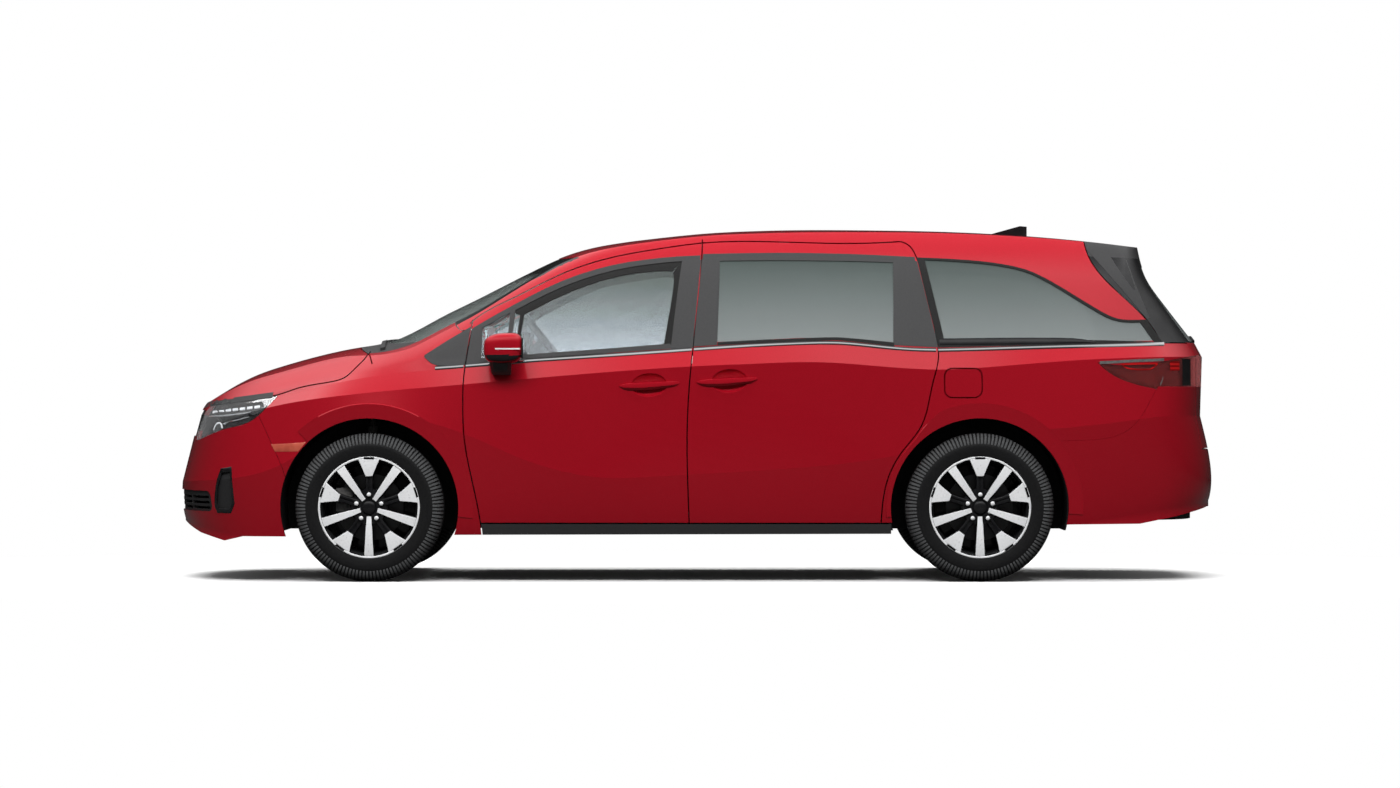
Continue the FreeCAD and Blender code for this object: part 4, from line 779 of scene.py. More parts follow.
def on_side(x, z, lift=0.0):
    start = Vector((x / 1000, -2.0, z / 1000))
    spot, _, index, _ = side_tree.ray_cast(start, Vector((0, 1, 0)))
    if spot is None:
        spot, _, index, _ = side_tree.find_nearest(Vector((x / 1000, -0.9, z / 1000)))
    normal = skin_direction(index, spot)
    return np.array(spot) + normal * lift / 1000, normal


def matched(edge_a, edge_b, step):
    pairs = []
    for i in range(len(edge_a) - 1):
        a0, a1 = np.array(edge_a[i], float), np.array(edge_a[i + 1], float)
        b0, b1 = np.array(edge_b[i], float), np.array(edge_b[i + 1], float)
        parts = max(1, math.ceil(max(np.linalg.norm(a1 - a0), np.linalg.norm(b1 - b0)) / step))
        pairs += [(a0 + (a1 - a0) * k / parts, b0 + (b1 - b0) * k / parts) for k in range(parts)]
    return pairs + [(np.array(edge_a[-1], float), np.array(edge_b[-1], float))]


def solid_mesh(name, points, faces, materials, angle=35):
    mesh = bpy.data.meshes.new(name)
    mesh.from_pydata([tuple(p) for p in points], [], faces)
    work = bmesh.new()
    work.from_mesh(mesh)
    bmesh.ops.remove_doubles(work, verts=work.verts, dist=1e-6)
    bmesh.ops.recalc_face_normals(work, faces=work.faces)
    work.to_mesh(mesh)
    work.free()
    for material in materials:
        mesh.materials.append(material)
    mesh.shade_smooth()
    mesh.set_sharp_from_angle(angle=math.radians(angle))
    return mesh


def loft(rings):
    size = len(rings[0])
    points = [p for ring in rings for p in ring]
    faces = []
    for i in range(len(rings) - 1):
        for j in range(size):
            a, b = i * size + j, i * size + (j + 1) % size
            faces.append((a, b, b + size, a + size))
    faces.append(tuple(range(size)))
    faces.append(tuple(range((len(rings) - 1) * size, len(rings) * size)))
    return points, faces


def turned(profile, segments):
    points, faces = [], []
    count = len(profile)
    for i in range(segments):
        angle = 2 * math.pi * i / segments
        points += [(r * math.cos(angle), y, r * math.sin(angle)) for r, y in profile]
    for i in range(segments):
        n = (i + 1) % segments
        for j in range(count):
            k = (j + 1) % count
            faces.append((i * count + j, i * count + k, n * count + k, n * count + j))
    return points, faces


def scaled(points):
    return [tuple(v / 1000 for v in p) for p in points]


def gathered(name, meshes):
    work = bmesh.new()
    materials = []
    for mesh in meshes:
        part = mesh.copy()
        kinds = list(part.materials)
        materials += [material for material in kinds if material not in materials]
        for poly in part.polygons:
            poly.material_index = materials.index(kinds[poly.material_index])
        work.from_mesh(part)
    result = bpy.data.meshes.new(name)
    work.to_mesh(result)
    work.free()
    for material in materials:
        result.materials.append(material)
    return result


def settle(name, mesh, body, slot, *replaced):
    piece = in_scene(name, mesh)
    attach(piece, body)
    if replaced:
        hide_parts(*replaced)
    return piece


def grid_slab(grid, thick):
    rows, columns = len(grid), len(grid[0])
    points = [p for row in grid for p, _ in row] + [p - n * thick / 1000 for row in grid for p, n in row]
    deep = rows * columns
    faces = []
    for i in range(rows - 1):
        for j in range(columns - 1):
            a = i * columns + j
            faces.append((a, a + 1, a + columns + 1, a + columns))
            faces.append((a + deep, a + columns + deep, a + columns + 1 + deep, a + 1 + deep))
    rim = list(range(columns)) + [i * columns + columns - 1 for i in range(1, rows)]
    rim += [(rows - 1) * columns + j for j in range(columns - 2, -1, -1)]
    rim += [i * columns for i in range(rows - 2, 0, -1)]
    for k, a in enumerate(rim):
        b = rim[(k + 1) % len(rim)]
        faces.append((b, a, a + deep, b + deep))
    return points, faces


def other_side(points):
    return [(p[0], -p[1], p[2]) for p in points]


def both_sides(points, faces):
    count = len(points)
    return list(points) + other_side(points), faces + [tuple(i + count for i in face) for face in faces]


def strip(name, edge_a, edge_b, material, slot, bodies, profile, thick=4.0, step=30):
    pairs = matched(edge_a, edge_b, step)
    grid = [[on_side(*(a + (b - a) * share), lift) for share, lift in profile] for a, b in pairs]
    points, faces = grid_slab(grid, thick)
    if len(bodies) == 1:
        settle(name, solid_mesh(name, *both_sides(points, faces), [material]), bodies[0], slot)
        return
    for side, body in zip(("left", "right"), bodies):
        spots = points if side == "left" else other_side(points)
        settle(name + "_" + side, solid_mesh(name, spots, faces, [material]), body, slot)


DOORS = ("door_left", "door_right")
BODY = ("body",)
FLAT = ((0, 1.2), (0.5, 1.6), (1, 1.2))
ROUND = ((0, 0.4), (0.14, 2.6), (0.5, 3.4), (0.86, 2.6), (1, 0.4))
SUNK = ((0, -1.6), (0.5, -1.2), (1, -1.8))
print("trim helper ready")


# %% [markdown]
# The bright line under the windows is a stainless strip with a rounded face. It is cut where the
# doors part, so each length rides on its own door.

# %% Chrome line under the windows
CHROME_LINE = {
    "chrome_front": (BODY, [(-1282, 1050), (-1210, 1055), (-1142, 1060)]),
    "chrome_door": (DOORS, [(-1131, 1061), (-985, 1073), (-842, 1085), (-430, 1113), (-20, 1142)]),
    "chrome_sliding": (BODY, [(-9, 1143), (150, 1154), (316, 1164), (500, 1172), (643, 1175),
                              (760, 1170), (959, 1150), (1070, 1142), (1180, 1139)]),
    "chrome_rear": (BODY, [(1191, 1139), (1400, 1144), (1760, 1155), (2050, 1163), (2312, 1170)]),
}
CHROME_HALF = 9.5
for name, (bodies, line) in CHROME_LINE.items():
    line = soften(line)
    upper = [(x, z + CHROME_HALF) for x, z in line]
    lower = [(x, z - CHROME_HALF) for x, z in line]
    strip(name, upper, lower, chrome, "gloss_black", bodies, ROUND, 5.0, 40)
print("chrome lengths", len(CHROME_LINE))


# %% [markdown]
# Around the glass the real car has three dark things: a satin frame that stands proud, a rubber
# seal sunk beside it, and satin cover panels on the pillars. Seen together they draw one dark shape
# in which only the glass shines.

# %% Frames, seals and pillar covers
def frame_piece(name, edge_a, edge_b, bodies, material=satin_black, profile=FLAT):
    slot = "gloss_black" if material is satin_black else "black_plastic"
    strip(name, soften(edge_a, 3), soften(edge_b, 3), material, slot, bodies, profile)


frame_piece("door_frame_top",
            [(-1098, 1249), (-903, 1361), (-659, 1483), (-416, 1560), (-171, 1597), (24, 1609)],
            [(-1092, 1226), (-892, 1336), (-650, 1456), (-408, 1534), (-168, 1572), (22, 1584)], DOORS)
frame_piece("door_seal_top", [(-902, 1331), (-650, 1457), (-408, 1535), (-168, 1573), (-68, 1579)],
            [(-860, 1308), (-629, 1425), (-400, 1502), (-215, 1531), (-122, 1530)], DOORS, seal_rubber, SUNK)
frame_piece("door_seal_rear", [(-68, 1580), (-84, 1470), (-122, 1158)],
            [(-112, 1522), (-112, 1440), (-158, 1164)], DOORS, seal_rubber, SUNK)
frame_piece("door_cover_rear", [(26, 1586), (5, 1370), (-15.6, 1151)],
            [(-68, 1581), (-90, 1430), (-124, 1143)], DOORS, satin_black,
            ((0, 1.6), (0.2, 2.2), (0.5, 2.6), (0.8, 2.2), (1, 1.2)))
frame_piece("door_seal_foot", [(-1126, 1072), (-842, 1096), (-430, 1124), (-118, 1146)],
            [(-1122, 1092), (-842, 1117), (-440, 1146), (-126, 1171)], DOORS, satin_black)
frame_piece("door_divider", [(-915, 1346), (-925, 1220), (-948, 1088)],
            [(-890, 1350), (-903, 1220), (-928, 1089)], DOORS)
frame_piece("door_seal_front", [(-866, 1312), (-880, 1210), (-886, 1108)],
            [(-846, 1318), (-862, 1210), (-868, 1110)], DOORS, seal_rubber, SUNK)
frame_piece("door_frame_front", [(-1104, 1243), (-1118, 1150), (-1130, 1068)],
            [(-1052, 1274), (-1054, 1160), (-1056, 1070)], DOORS)
frame_piece("sail_frame", [(-1337, 1112), (-1230, 1181), (-1110, 1253)],
            [(-1337, 1104), (-1272, 1062), (-1136, 1066)], BODY, satin_black,
            ((0, 3.0), (0.12, 3.0), (0.15, 2.2), (0.3, 2.2), (0.43, 2.2), (0.57, 2.2), (0.7, 2.2),
             (0.85, 2.2), (0.88, 3.0), (1, 3.0)))
frame_piece("sliding_frame_top", [(36, 1616), (400, 1622), (760, 1616), (1083, 1601)],
            [(32, 1580), (400, 1584), (760, 1580), (1088, 1570)], BODY)
frame_piece("sliding_cover_front", [(30.4, 1590), (8.8, 1360), (-10.6, 1156)],
            [(119, 1592), (112, 1360), (104, 1163)], BODY, satin_black,
            ((0, 1.6), (0.2, 2.2), (0.5, 2.6), (0.8, 2.0), (1, 1.2)))
frame_piece("sliding_cover_rear", [(975, 1584), (974, 1360), (970, 1163)],
            [(1094.5, 1580), (1145.5, 1360), (1191, 1152)], BODY, satin_black,
            ((0, 1.2), (0.2, 2.0), (0.5, 2.6), (0.8, 2.2), (1, 1.6)))
frame_piece("sliding_seal_foot", [(106, 1162), (316, 1174), (643, 1186), (760, 1181), (975, 1158)],
            [(106, 1178), (316, 1189), (643, 1201), (760, 1197), (975, 1176)], BODY, seal_rubber)
frame_piece("quarter_seal_top",
            [(1092, 1599), (1260, 1592), (1461, 1575), (1628, 1541), (1760, 1479), (1929, 1375),
             (2035, 1313), (2113, 1290), (2222, 1291)],
            [(1104, 1588), (1260, 1580), (1459, 1563), (1622, 1530), (1752, 1468), (1921, 1363), (2030, 1300),
             (2113, 1278), (2218, 1279)], BODY, seal_rubber)
frame_piece("quarter_seal_front", [(1093, 1597), (1146.5, 1360), (1192.5, 1160)],
            [(1132, 1588), (1184, 1360), (1224, 1177)], BODY, seal_rubber)
frame_piece("quarter_seal_rear", [(2229, 1291), (2268, 1232), (2305, 1178)],
            [(2192, 1281), (2232, 1223), (2266, 1174)], BODY, seal_rubber)
frame_piece("slider_track", [(1192, 1151), (1700, 1163), (2290, 1180)],
            [(1196, 1188), (1700, 1192), (2290, 1181)], BODY, seal_rubber)
frame_piece("slider_track_cover", [(1198, 1196), (1550, 1200), (1860, 1198), (1972, 1178)],
            [(1198, 1160), (1550, 1163), (1860, 1170), (1972, 1174)], BODY, gloss_black, ROUND)
print("frames and covers laid")

# %% [markdown]
# The gap between the front and the sliding door would let daylight through, where a real car has a
# pillar and its rubber seals. Dark strips lie deep behind the gap, and one close behind the frames.

# %% Pillars behind the door gaps
PILLARS = (("pillar_low", [(-39, 336), (-43, 651), (-38, 874), (-16, 1130)], -98, 24),
           ("pillar_high", [(-14, 1145), (7, 1370), (30, 1609), (38, 1650), (44, 1700)], -56, 24),
           ("pillar_seal", [(-14, 1148), (7, 1370), (28, 1590)], -14, 4.5))
PILLAR_BEHIND = 20
for name, line, depth, ahead in PILLARS:
    strip(name, [(x - ahead, z) for x, z in line], [(x + PILLAR_BEHIND, z) for x, z in line], seal_rubber,
          "cabin_trim", BODY, ((0, depth), (0.5, depth + 1), (1, depth)), 5.0, 80)


# %% [markdown]
# A dark blade runs from the roof spoiler down beside the tailgate glass. It opens with the tailgate,
# so it rides there. The wheel openings have a flat painted lip, and the amber marker sits ahead of
# the front wheel.

# %% Blade, wheel lips and side marker
frame_piece("tailgate_blade", [(1944, 1640), (2085, 1470), (2232, 1292)],
            [(2142, 1590), (2176, 1480), (2246, 1298)], ("tailgate",))

LIP_IN, LIP_OUT = 438, 512
LIP_PROFILE = ((0, 2.6), (0.06, 3.4), (0.5, 3.6), (0.93, 3.2), (1, 0.2))
AXLE_HEIGHT = 366
FRONT_AXLE, REAR_AXLE = -1604.5, 1395.5


def wheel_lip(name, axle, start, end, narrow):
    grid = []
    for degrees in np.linspace(start, end, 61):
        angle = math.radians(degrees)
        outer = LIP_OUT - narrow * min(max((degrees - 112) / 22, 0), 1)
        row = []
        for share, lift in LIP_PROFILE:
            reach = LIP_IN + (outer - LIP_IN) * share
            row.append(on_side(axle + reach * math.cos(angle), AXLE_HEIGHT + reach * math.sin(angle), lift))
        grid.append(row)
    mesh = solid_mesh(name, *both_sides(*grid_slab(grid, 4.0)), [paint])
    normals = []
    for poly in mesh.polygons:
        for k in poly.loop_indices:
            side = -1 if mesh.vertices[mesh.loops[k].vertex_index].co.y < 0 else 1
            want = Vector((poly.normal.x * 0.35, side, -0.10)).normalized()
            normals.append(want if poly.normal.dot(want) > 0.75 else poly.normal)
    mesh.normals_split_custom_set([tuple(n) for n in normals])
    settle(name, mesh, "body", "body_paint")


strip("side_marker", [(-2086, 676), (-2000, 680), (-1912, 687)], [(-2066, 640), (-2010, 640), (-1950, 641)],
      amber, "lamp_red", BODY, ((0, 0.4), (0.1, 1.6), (0.5, 2.0), (0.9, 1.6), (1, 0.4)), 4.0, 20)
wheel_lip("wheel_lip_front", FRONT_AXLE, -6, 133, 0)
wheel_lip("wheel_lip_rear", REAR_AXLE, -4, 186, 50)
print("lips and marker laid")


# %% [markdown]
# ## Handles and mirrors
# A pull handle is a bar whose ends come to blunt points, with a lower face that turns back under.
# It is a run of cross-sections along the door, each with seven corners, that narrow to the ends.

# %% Door handles
HANDLE_RUN = [(0, -2, 1, 6), (9, -8, 5, 12), (26, -17, 10, 17), (60, -21, 14, 20), (120, -21, 17, 21),
              (180, -16, 20, 21), (235, -9, 22, 20), (272, -3, 23, 17), (292, 6, 22, 12), (302, 14, 20, 6)]


def handle_points(x0, z0, out):
    rings = []
    for along, foot, top, proud in HANDLE_RUN:
        tall = top - foot
        section = [(foot + tall * 0.06, -2), (foot, proud * 0.45), (foot + tall * 0.34, proud * 0.98),
                   (foot + tall * 0.55, proud), (top - tall * 0.08, proud * 0.9), (top, proud * 0.55),
                   (top - tall * 0.05, -2)]
        rings.append([((x0 + along) / 1000, -(out + y) / 1000, (z0 + z) / 1000) for z, y in section])
    return loft(rings)


def handle_mesh(name, x0, z0, out, sides):
    points, faces = handle_points(x0, z0, out)
    if len(sides) == 2:
        points, faces = both_sides(points, faces)
    elif sides == [1]:
        points = other_side(points)
    return solid_mesh(name, points, faces, [paint], 24)


for side, word in ((-1, "left"), (1, "right")):
    settle("pull_bar_" + word, handle_mesh("pull_bar_" + word, -376, 962, 985, [side]), "door_" + word,
           "body_paint", "front_door_handle_" + word)
settle("pull_bars_sliding", handle_mesh("pull_bars_sliding", 2, 981, 990, [-1, 1]), "body", "body_paint",
       "sliding_door_handles")
print("handles made")


# %% [markdown]
# The door mirror is a soft-cornered shell: painted cap above, black lower half and foot below, a
# thin lamp strip across the front face and a real mirror glass facing back. The shell is a rounded
# box written as one formula, so its rows run level and the colour can change exactly on a row.

# %% Door mirrors
MIRROR_CENTRE = (-941, -1044, 1146)
MIRROR_HALF = (96, 85, 80)
MIRROR_SPLIT = -0.42


def power(value, exponent):
    return math.copysign(abs(value) ** exponent, value)


def mirror_shell(rows=28, columns=56):
    points, faces = [], []
    for i in range(rows + 1):
        rise = -math.pi / 2 + math.pi * i / rows
        for j in range(columns):
            turn = 2 * math.pi * j / columns
            x = power(math.cos(rise), 0.42) * power(math.cos(turn), 0.50)
            y = power(math.cos(rise), 0.42) * power(math.sin(turn), 0.55)
            z = power(math.sin(rise), 0.55)
            slope = 1.0 - 0.16 * max(0, -x) ** 1.5 if z > 0 else 1.0 - 0.10 * abs(x)
            narrow = 1.0 - 0.10 * (1 - y) / 2
            points.append((MIRROR_CENTRE[0] + x * MIRROR_HALF[0] * (1 - 0.05 * z * z),
                           MIRROR_CENTRE[1] + y * MIRROR_HALF[1],
                           MIRROR_CENTRE[2] + z * MIRROR_HALF[2] * slope * narrow + x * 3))
    for i in range(rows):
        for j in range(columns):
            a, b = i * columns + j, i * columns + (j + 1) % columns
            faces.append((a, b, b + columns, a + columns))
    return scaled(points), faces


FOOT_RUN = ((-1010, -900, -1060, -1000, 1098), (-1010, -902, -1060, -990, 1075),
            (-1006, -905, -1050, -965, 1056), (-1002, -906, -1030, -940, 1030),
            (-996, -908, -1010, -925, 1016))
FOOT_CUT = 16


def mirror_foot():
    rings = []
    for x0, x1, y0, y1, z in FOOT_RUN:
        rings.append(scaled([(x0 + FOOT_CUT, y0, z), (x1 - FOOT_CUT, y0, z), (x1, y0 + FOOT_CUT, z),
                             (x1, y1, z), (x0, y1, z), (x0, y0 + FOOT_CUT, z)]))
    return loft(rings)


def block(x0, x1, y0, y1, z0, z1):
    rings = [scaled([(x, y0, z0), (x, y1, z0), (x, y1, z1), (x, y0, z1)]) for x in (x0, x1)]
    return loft(rings)


def mirror_piece(side, word):
    def sided(name, shape, materials, angle=30):
        points, faces = shape
        return solid_mesh(name, list(points) if side < 0 else other_side(points), faces, materials, angle)

    shell = sided("shell", mirror_shell(), [paint, gloss_black], 50)
    limit = (MIRROR_CENTRE[2] + MIRROR_SPLIT * MIRROR_HALF[2]) / 1000
    for poly in shell.polygons:
        poly.material_index = 0 if poly.center.z > limit else 1
    foot = sided("foot", mirror_foot(), [satin_black])
    lamp = sided("lamp", block(-978, -856, -1130, -1124, 1140, 1147), [wheel_metal])
    glass = sided("mirror_glass", block(-850, -843, -1112, -975, 1096, 1196), [chrome])
    mesh = gathered("door_mirror_" + word, [shell, foot, lamp, glass])
    settle("door_mirror_" + word, mesh, "door_" + word, "body_paint", "mirror_" + word)


for side, word in ((-1, "left"), (1, "right")):
    mirror_piece(side, word)
print("mirrors made")


# %% [markdown]
# ## Wheels
# An alloy wheel is one casting whose front is turned bright on a lathe while the pockets stay black.
# Five narrow spokes alternate with five wedge heads. Each spoke is drawn once as a run of
# cross-sections, and a Geometry Nodes tree repeats it round the axle. Bright faces that look
# sideways then turn black, as on a casting whose flanks the lathe never reaches. The wheel is made
# at the origin with its axle along Y and its face towards -Y, and then moved to each hub.

# %% A tree that repeats round the axle
def repeat_tree():
    tree = bpy.data.node_groups.new("around_the_axle", "GeometryNodeTree")
    for label, way, kind in (("Geometry", "INPUT", "Geometry"), ("Count", "INPUT", "Int"),
                             ("Start angle", "INPUT", "Float"), ("Step angle", "INPUT", "Float"),
                             ("Finish", "INPUT", "Material"), ("Geometry", "OUTPUT", "Geometry")):
        tree.interface.new_socket(label, in_out=way, socket_type="NodeSocket" + kind)
    start = tree.nodes.new("NodeGroupInput")
    end = tree.nodes.new("NodeGroupOutput")
    dots = tree.nodes.new("GeometryNodePoints")
    index = tree.nodes.new("GeometryNodeInputIndex")
    turn = add_node(tree, "ShaderNodeMath", operation="MULTIPLY_ADD")
    axis = add_node(tree, "FunctionNodeAxisAngleToRotation", Axis=(0, 1, 0))
    copies = tree.nodes.new("GeometryNodeInstanceOnPoints")
    real = tree.nodes.new("GeometryNodeRealizeInstances")
    finish = tree.nodes.new("GeometryNodeSetMaterial")
    for source, output, target, socket in (
            (start, "Count", dots, "Count"), (index, 0, turn, 0), (start, "Step angle", turn, 1),
            (start, "Start angle", turn, 2), (turn, 0, axis, "Angle"), (dots, 0, copies, "Points"),
            (start, "Geometry", copies, "Instance"), (axis, 0, copies, "Rotation"), (copies, 0, real, 0),
            (real, 0, finish, "Geometry"), (start, "Finish", finish, "Material"), (finish, 0, end, 0)):
        join(tree, source, output, target, socket)
    return tree


around = repeat_tree()


def round_axle(mesh, count, start_degrees, material):
    holder = in_scene("pattern", mesh)
    modifier = holder.modifiers.new("repeat", "NODES")
    modifier.node_group = around
    values = {"Count": count, "Start angle": math.radians(start_degrees), "Step angle": 2 * math.pi / count,
              "Finish": material}
    for item in around.interface.items_tree:
        if item.in_out == "INPUT" and item.name in values:
            modifier[item.identifier] = values[item.name]
    holder.update_tag()
    result = evaluated_mesh(holder)
    bpy.data.objects.remove(holder)
    return result


print("repeat tree sockets", [s.name for s in around.interface.items_tree])


# %% Bright spokes and wedge heads, in millimetres from the axle
SPOKE = [(44, 11, 9), (70, 12.5, 5), (98, 15, 0), (170, 19, -1), (226, 22, 0), (240, 23, 3)]
WEDGE = [(154, 17, 1), (160, 19, 0), (208, 39, -1), (234, 51, 0), (241, 53, 3)]
LEG = [(40, 19, 12), (80, 16, 14), (120, 15, 15), (160, 18, 12)]
SPOKE_DEPTH, WEDGE_DEPTH, LEG_GROOVE = 30, 26, 6


def spoke_mesh(name, stations, material, depth, groove=0.0):
    rings = []
    for reach, half, face in stations:
        section = [(-half - 5, face + depth), (-half - 2, face + 5), (-half, face + 0.8),
                   (-half + 1.6, face)]
        if groove:
            section += [(-half * 0.35, face), (-half * 0.2, face + groove)]
        section += [(-x, y) for x, y in reversed(section)]
        rings.append([(x / 1000, y / 1000, reach / 1000) for x, y in section])
    points, faces = loft(rings)
    return solid_mesh(name, points, faces, [material], 20)


def turned_mesh(name, profile, material, segments=96, angle=30):
    points, faces = turned(profile, segments)
    return solid_mesh(name, scaled(points), faces, [material], angle)


NUT_RUN = ((12, 12.5), (-2, 12.5), (-6, 10.5), (-9, 6.5), (-10, 1.0))
NUT_CIRCLE = 64
NUT_TURN = 0.26


def wheel_nut():
    rings = []
    for y, reach in NUT_RUN:
        angles = [k * math.pi / 6 + NUT_TURN for k in range(12)]
        rings.append([(reach * math.cos(a) / 1000, y / 1000, (NUT_CIRCLE + reach * math.sin(a)) / 1000)
                      for a in angles])
    points, faces = loft(rings)
    return solid_mesh("wheel_nut", points, faces, [wheel_metal], 50)


wheel_parts = [
    round_axle(spoke_mesh("spoke", SPOKE, wheel_metal, SPOKE_DEPTH), 5, 180, wheel_metal),
    round_axle(spoke_mesh("wedge", WEDGE, wheel_metal, WEDGE_DEPTH), 5, 0, wheel_metal),
    round_axle(spoke_mesh("leg", LEG, gloss_black, SPOKE_DEPTH, LEG_GROOVE), 5, 0, gloss_black),
    round_axle(wheel_nut(), 5, 0, wheel_metal),
    turned_mesh("nut_wells", [(40, 14), (84, 18), (92, 26), (92, 44), (34, 44), (30, 20)], gloss_black),
    turned_mesh("centre_cap", [(0.5, -1), (14, -0.4), (25, 1.5), (31, 6), (33, 20), (0.5, 20)],
                gloss_black),
    turned_mesh("barrel", [(243, 1), (238, 5), (226, 30), (221, 60), (221, 190), (232, 208), (240, 212),
                           (240, 206), (226, 190), (227, 60), (232, 30), (243, 10)], gloss_black),
    turned_mesh("lip_ring", [(238.5, 3.0), (240, 0.6), (243, -0.6), (247, -0.8), (250, 0.6), (251, 4),
                             (248, 9), (239, 9)], wheel_metal, 128, 50),
]
NOTCH = ((-25, 0.6), (-25, -1.4), (25, -1.4), (25, 0.6))
points, faces = loft([scaled([(x, y, z) for x, y in NOTCH]) for z in (237, 247.5)])
wheel_parts.append(round_axle(solid_mesh("notch", points, faces, [gloss_black]), 5, 0, gloss_black))
wheel_mesh = gathered("wheel", wheel_parts)

# %% Black flanks
FACES_OUT = 0.72
finish_order = [material.name for material in wheel_mesh.materials]
bright, dark = finish_order.index(wheel_metal.name), finish_order.index(gloss_black.name)
for poly in wheel_mesh.polygons:
    if poly.material_index == bright and abs(poly.normal.y) < FACES_OUT:
        poly.material_index = dark
print("wheel triangles", sum(len(p.vertices) - 2 for p in wheel_mesh.polygons))


# %% [markdown]
# The tyre has a smooth dark sidewall and, from the shoulder outwards, a ring of radial blocks with
# grooves between them. The blocks are a lighter grey than the same rubber on the sidewall, a painted
# sheen. The round body is a lathe shape, and one block repeats 120 times each side.

# %% Tyre body and tread
TYRE_LINE = [(229, 93), (236, 104), (246, 109.5), (262, 113), (280, 116), (300, 116), (308, 115),
             (312, 112.6), (330, 106), (345, 96), (354, 82), (358, 66), (359, 56), (365.4, 54),
             (365.6, 40), (358, 38), (358, 33), (365.8, 31), (366, 12), (358, 10)]
TYRE_INSIDE = [(231, -60), (231, 60)]
BLOCK = [(311, 112.4), (318, 112.6), (331, 109.2), (345, 101), (355, 88), (361.5, 73), (364.6, 58)]
BLOCK_COUNT = 120
BLOCK_SHARE = 0.62


def tyre_block(side):
    half = math.pi / BLOCK_COUNT * BLOCK_SHARE
    rings = []
    for k, (reach, y) in enumerate(BLOCK):
        drop = 6.5 if k else 1.0
        wide = half * (0.72 if k == 0 else 1.0)
        section = [(reach - drop, y - drop * 0.4, -wide), (reach, y, -wide * 0.9), (reach, y, wide * 0.9),
                   (reach - drop, y - drop * 0.4, wide)]
        rings.append([(r * math.sin(a) / 1000, side * t / 1000, r * math.cos(a) / 1000)
                      for r, t, a in section])
    points, faces = loft(rings)
    return solid_mesh("tread_block", points, faces, [tyre_rubber], 25)


tyre_line = TYRE_LINE + [(r, -y) for r, y in reversed(TYRE_LINE)] + TYRE_INSIDE
# The tread blocks take the lighter rubber, a painted sheen.
tyre_mesh = gathered("tyre", [turned_mesh("tyre_body", tyre_line, tyre_rubber, 120, 28),
                              round_axle(tyre_block(1), BLOCK_COUNT, 0, tread_rubber_painted_sheen),
                              round_axle(tyre_block(-1), BLOCK_COUNT, 1.5, tread_rubber_painted_sheen)])
print("tyre triangles", sum(len(p.vertices) - 2 for p in tyre_mesh.polygons))

# %% Set the wheels on their hubs
WHEEL_PLACES = {"front_left": (FRONT_AXLE, -1), "front_right": (FRONT_AXLE, 1),
                "rear_left": (REAR_AXLE, -1), "rear_right": (REAR_AXLE, 1)}
TRACK_HALF = 0.855
FACE_OUT = 0.1115
WHEEL_KINDS = (("wheel", "alloy_", "rim_", "alloy", wheel_mesh, FACE_OUT),
               ("tyre", "road_tyre_", "tyre_", "tyre_rubber", tyre_mesh, 0.0))
for corner, (x, side) in WHEEL_PLACES.items():
    for kind, piece_word, node_word, slot, source, shift in WHEEL_KINDS:
        mesh = source.copy()
        mesh.name = kind + "_" + corner
        place = Matrix.Translation((x / 1000, side * (TRACK_HALF + shift), AXLE_HEIGHT / 1000))
        if side > 0:
            place = place @ Matrix.Rotation(math.pi, 4, "Z")
        mesh.transform(place)
        settle(piece_word + corner, mesh, "wheel_" + corner, slot, node_word + corner)
print("wheels set", len(WHEEL_PLACES))

# %% Splash shields behind the brake discs
SHIELD_LINE = [(70, 0), (212, 6), (214, 12), (210, 10), (70, 4)]
SHIELD_OUT = 0.752
for corner, (x, side) in WHEEL_PLACES.items():
    shield = turned_mesh("splash_shield_" + corner, SHIELD_LINE, gloss_black, 64)
    place = Matrix.Translation((x / 1000, side * SHIELD_OUT, AXLE_HEIGHT / 1000))
    shield.transform(place @ Matrix.Diagonal((1, -side, 1, 1)))
    if side > 0:
        shield.flip_normals()
    carrier = "knuckle_" + corner.split("_")[1] if "front" in corner else "body"
    settle("splash_shield_" + corner, shield, carrier, "underbody")


# %% [markdown]
# ## Lamps
# A head lamp is a clear cover over a dark box. Inside sit a projector in a ring and a row of small
# bright dashes, the daytime lamp, that follows the upper edge. The cover is made from the outer
# faces of the solid lamp, and the box from the same solid with those faces pushed inwards.

# %% Split a lamp into cover and box
ON_SKIN = 0.008
COVER_THICK = 0.003


def lamp_shells(name, sink, dark):
    work = bmesh.new()
    work.from_mesh(nodes[name].data)
    bmesh.ops.remove_doubles(work, verts=work.verts, dist=1e-5)
    near = {}
    for vert in work.verts:
        side = -1 if vert.co.y > 0 else 1
        spot, _, index, away = skin_tree.find_nearest(Vector((vert.co.x, vert.co.y * side, vert.co.z)))
        direction = skin_direction(index, spot)
        near[vert.index] = (away < ON_SKIN, Vector((direction[0], direction[1] * side, direction[2])))
    outer = [f for f in work.faces if all(near[v.index][0] for v in f.verts)]
    shell_points, shell_faces, seen = [], [], {}
    for face in outer:
        loop = []
        for vert in face.verts:
            if vert.index not in seen:
                seen[vert.index] = len(shell_points)
                shell_points.append((vert.co.copy(), near[vert.index][1]))
            loop.append(seen[vert.index])
        shell_faces.append(tuple(loop))
    for vert in work.verts:
        if near[vert.index][0]:
            vert.co -= near[vert.index][1] * sink
    box = bpy.data.meshes.new(name + "_box")
    work.to_mesh(box)
    work.free()
    box.materials.append(dark)
    return shell_points, shell_faces, box


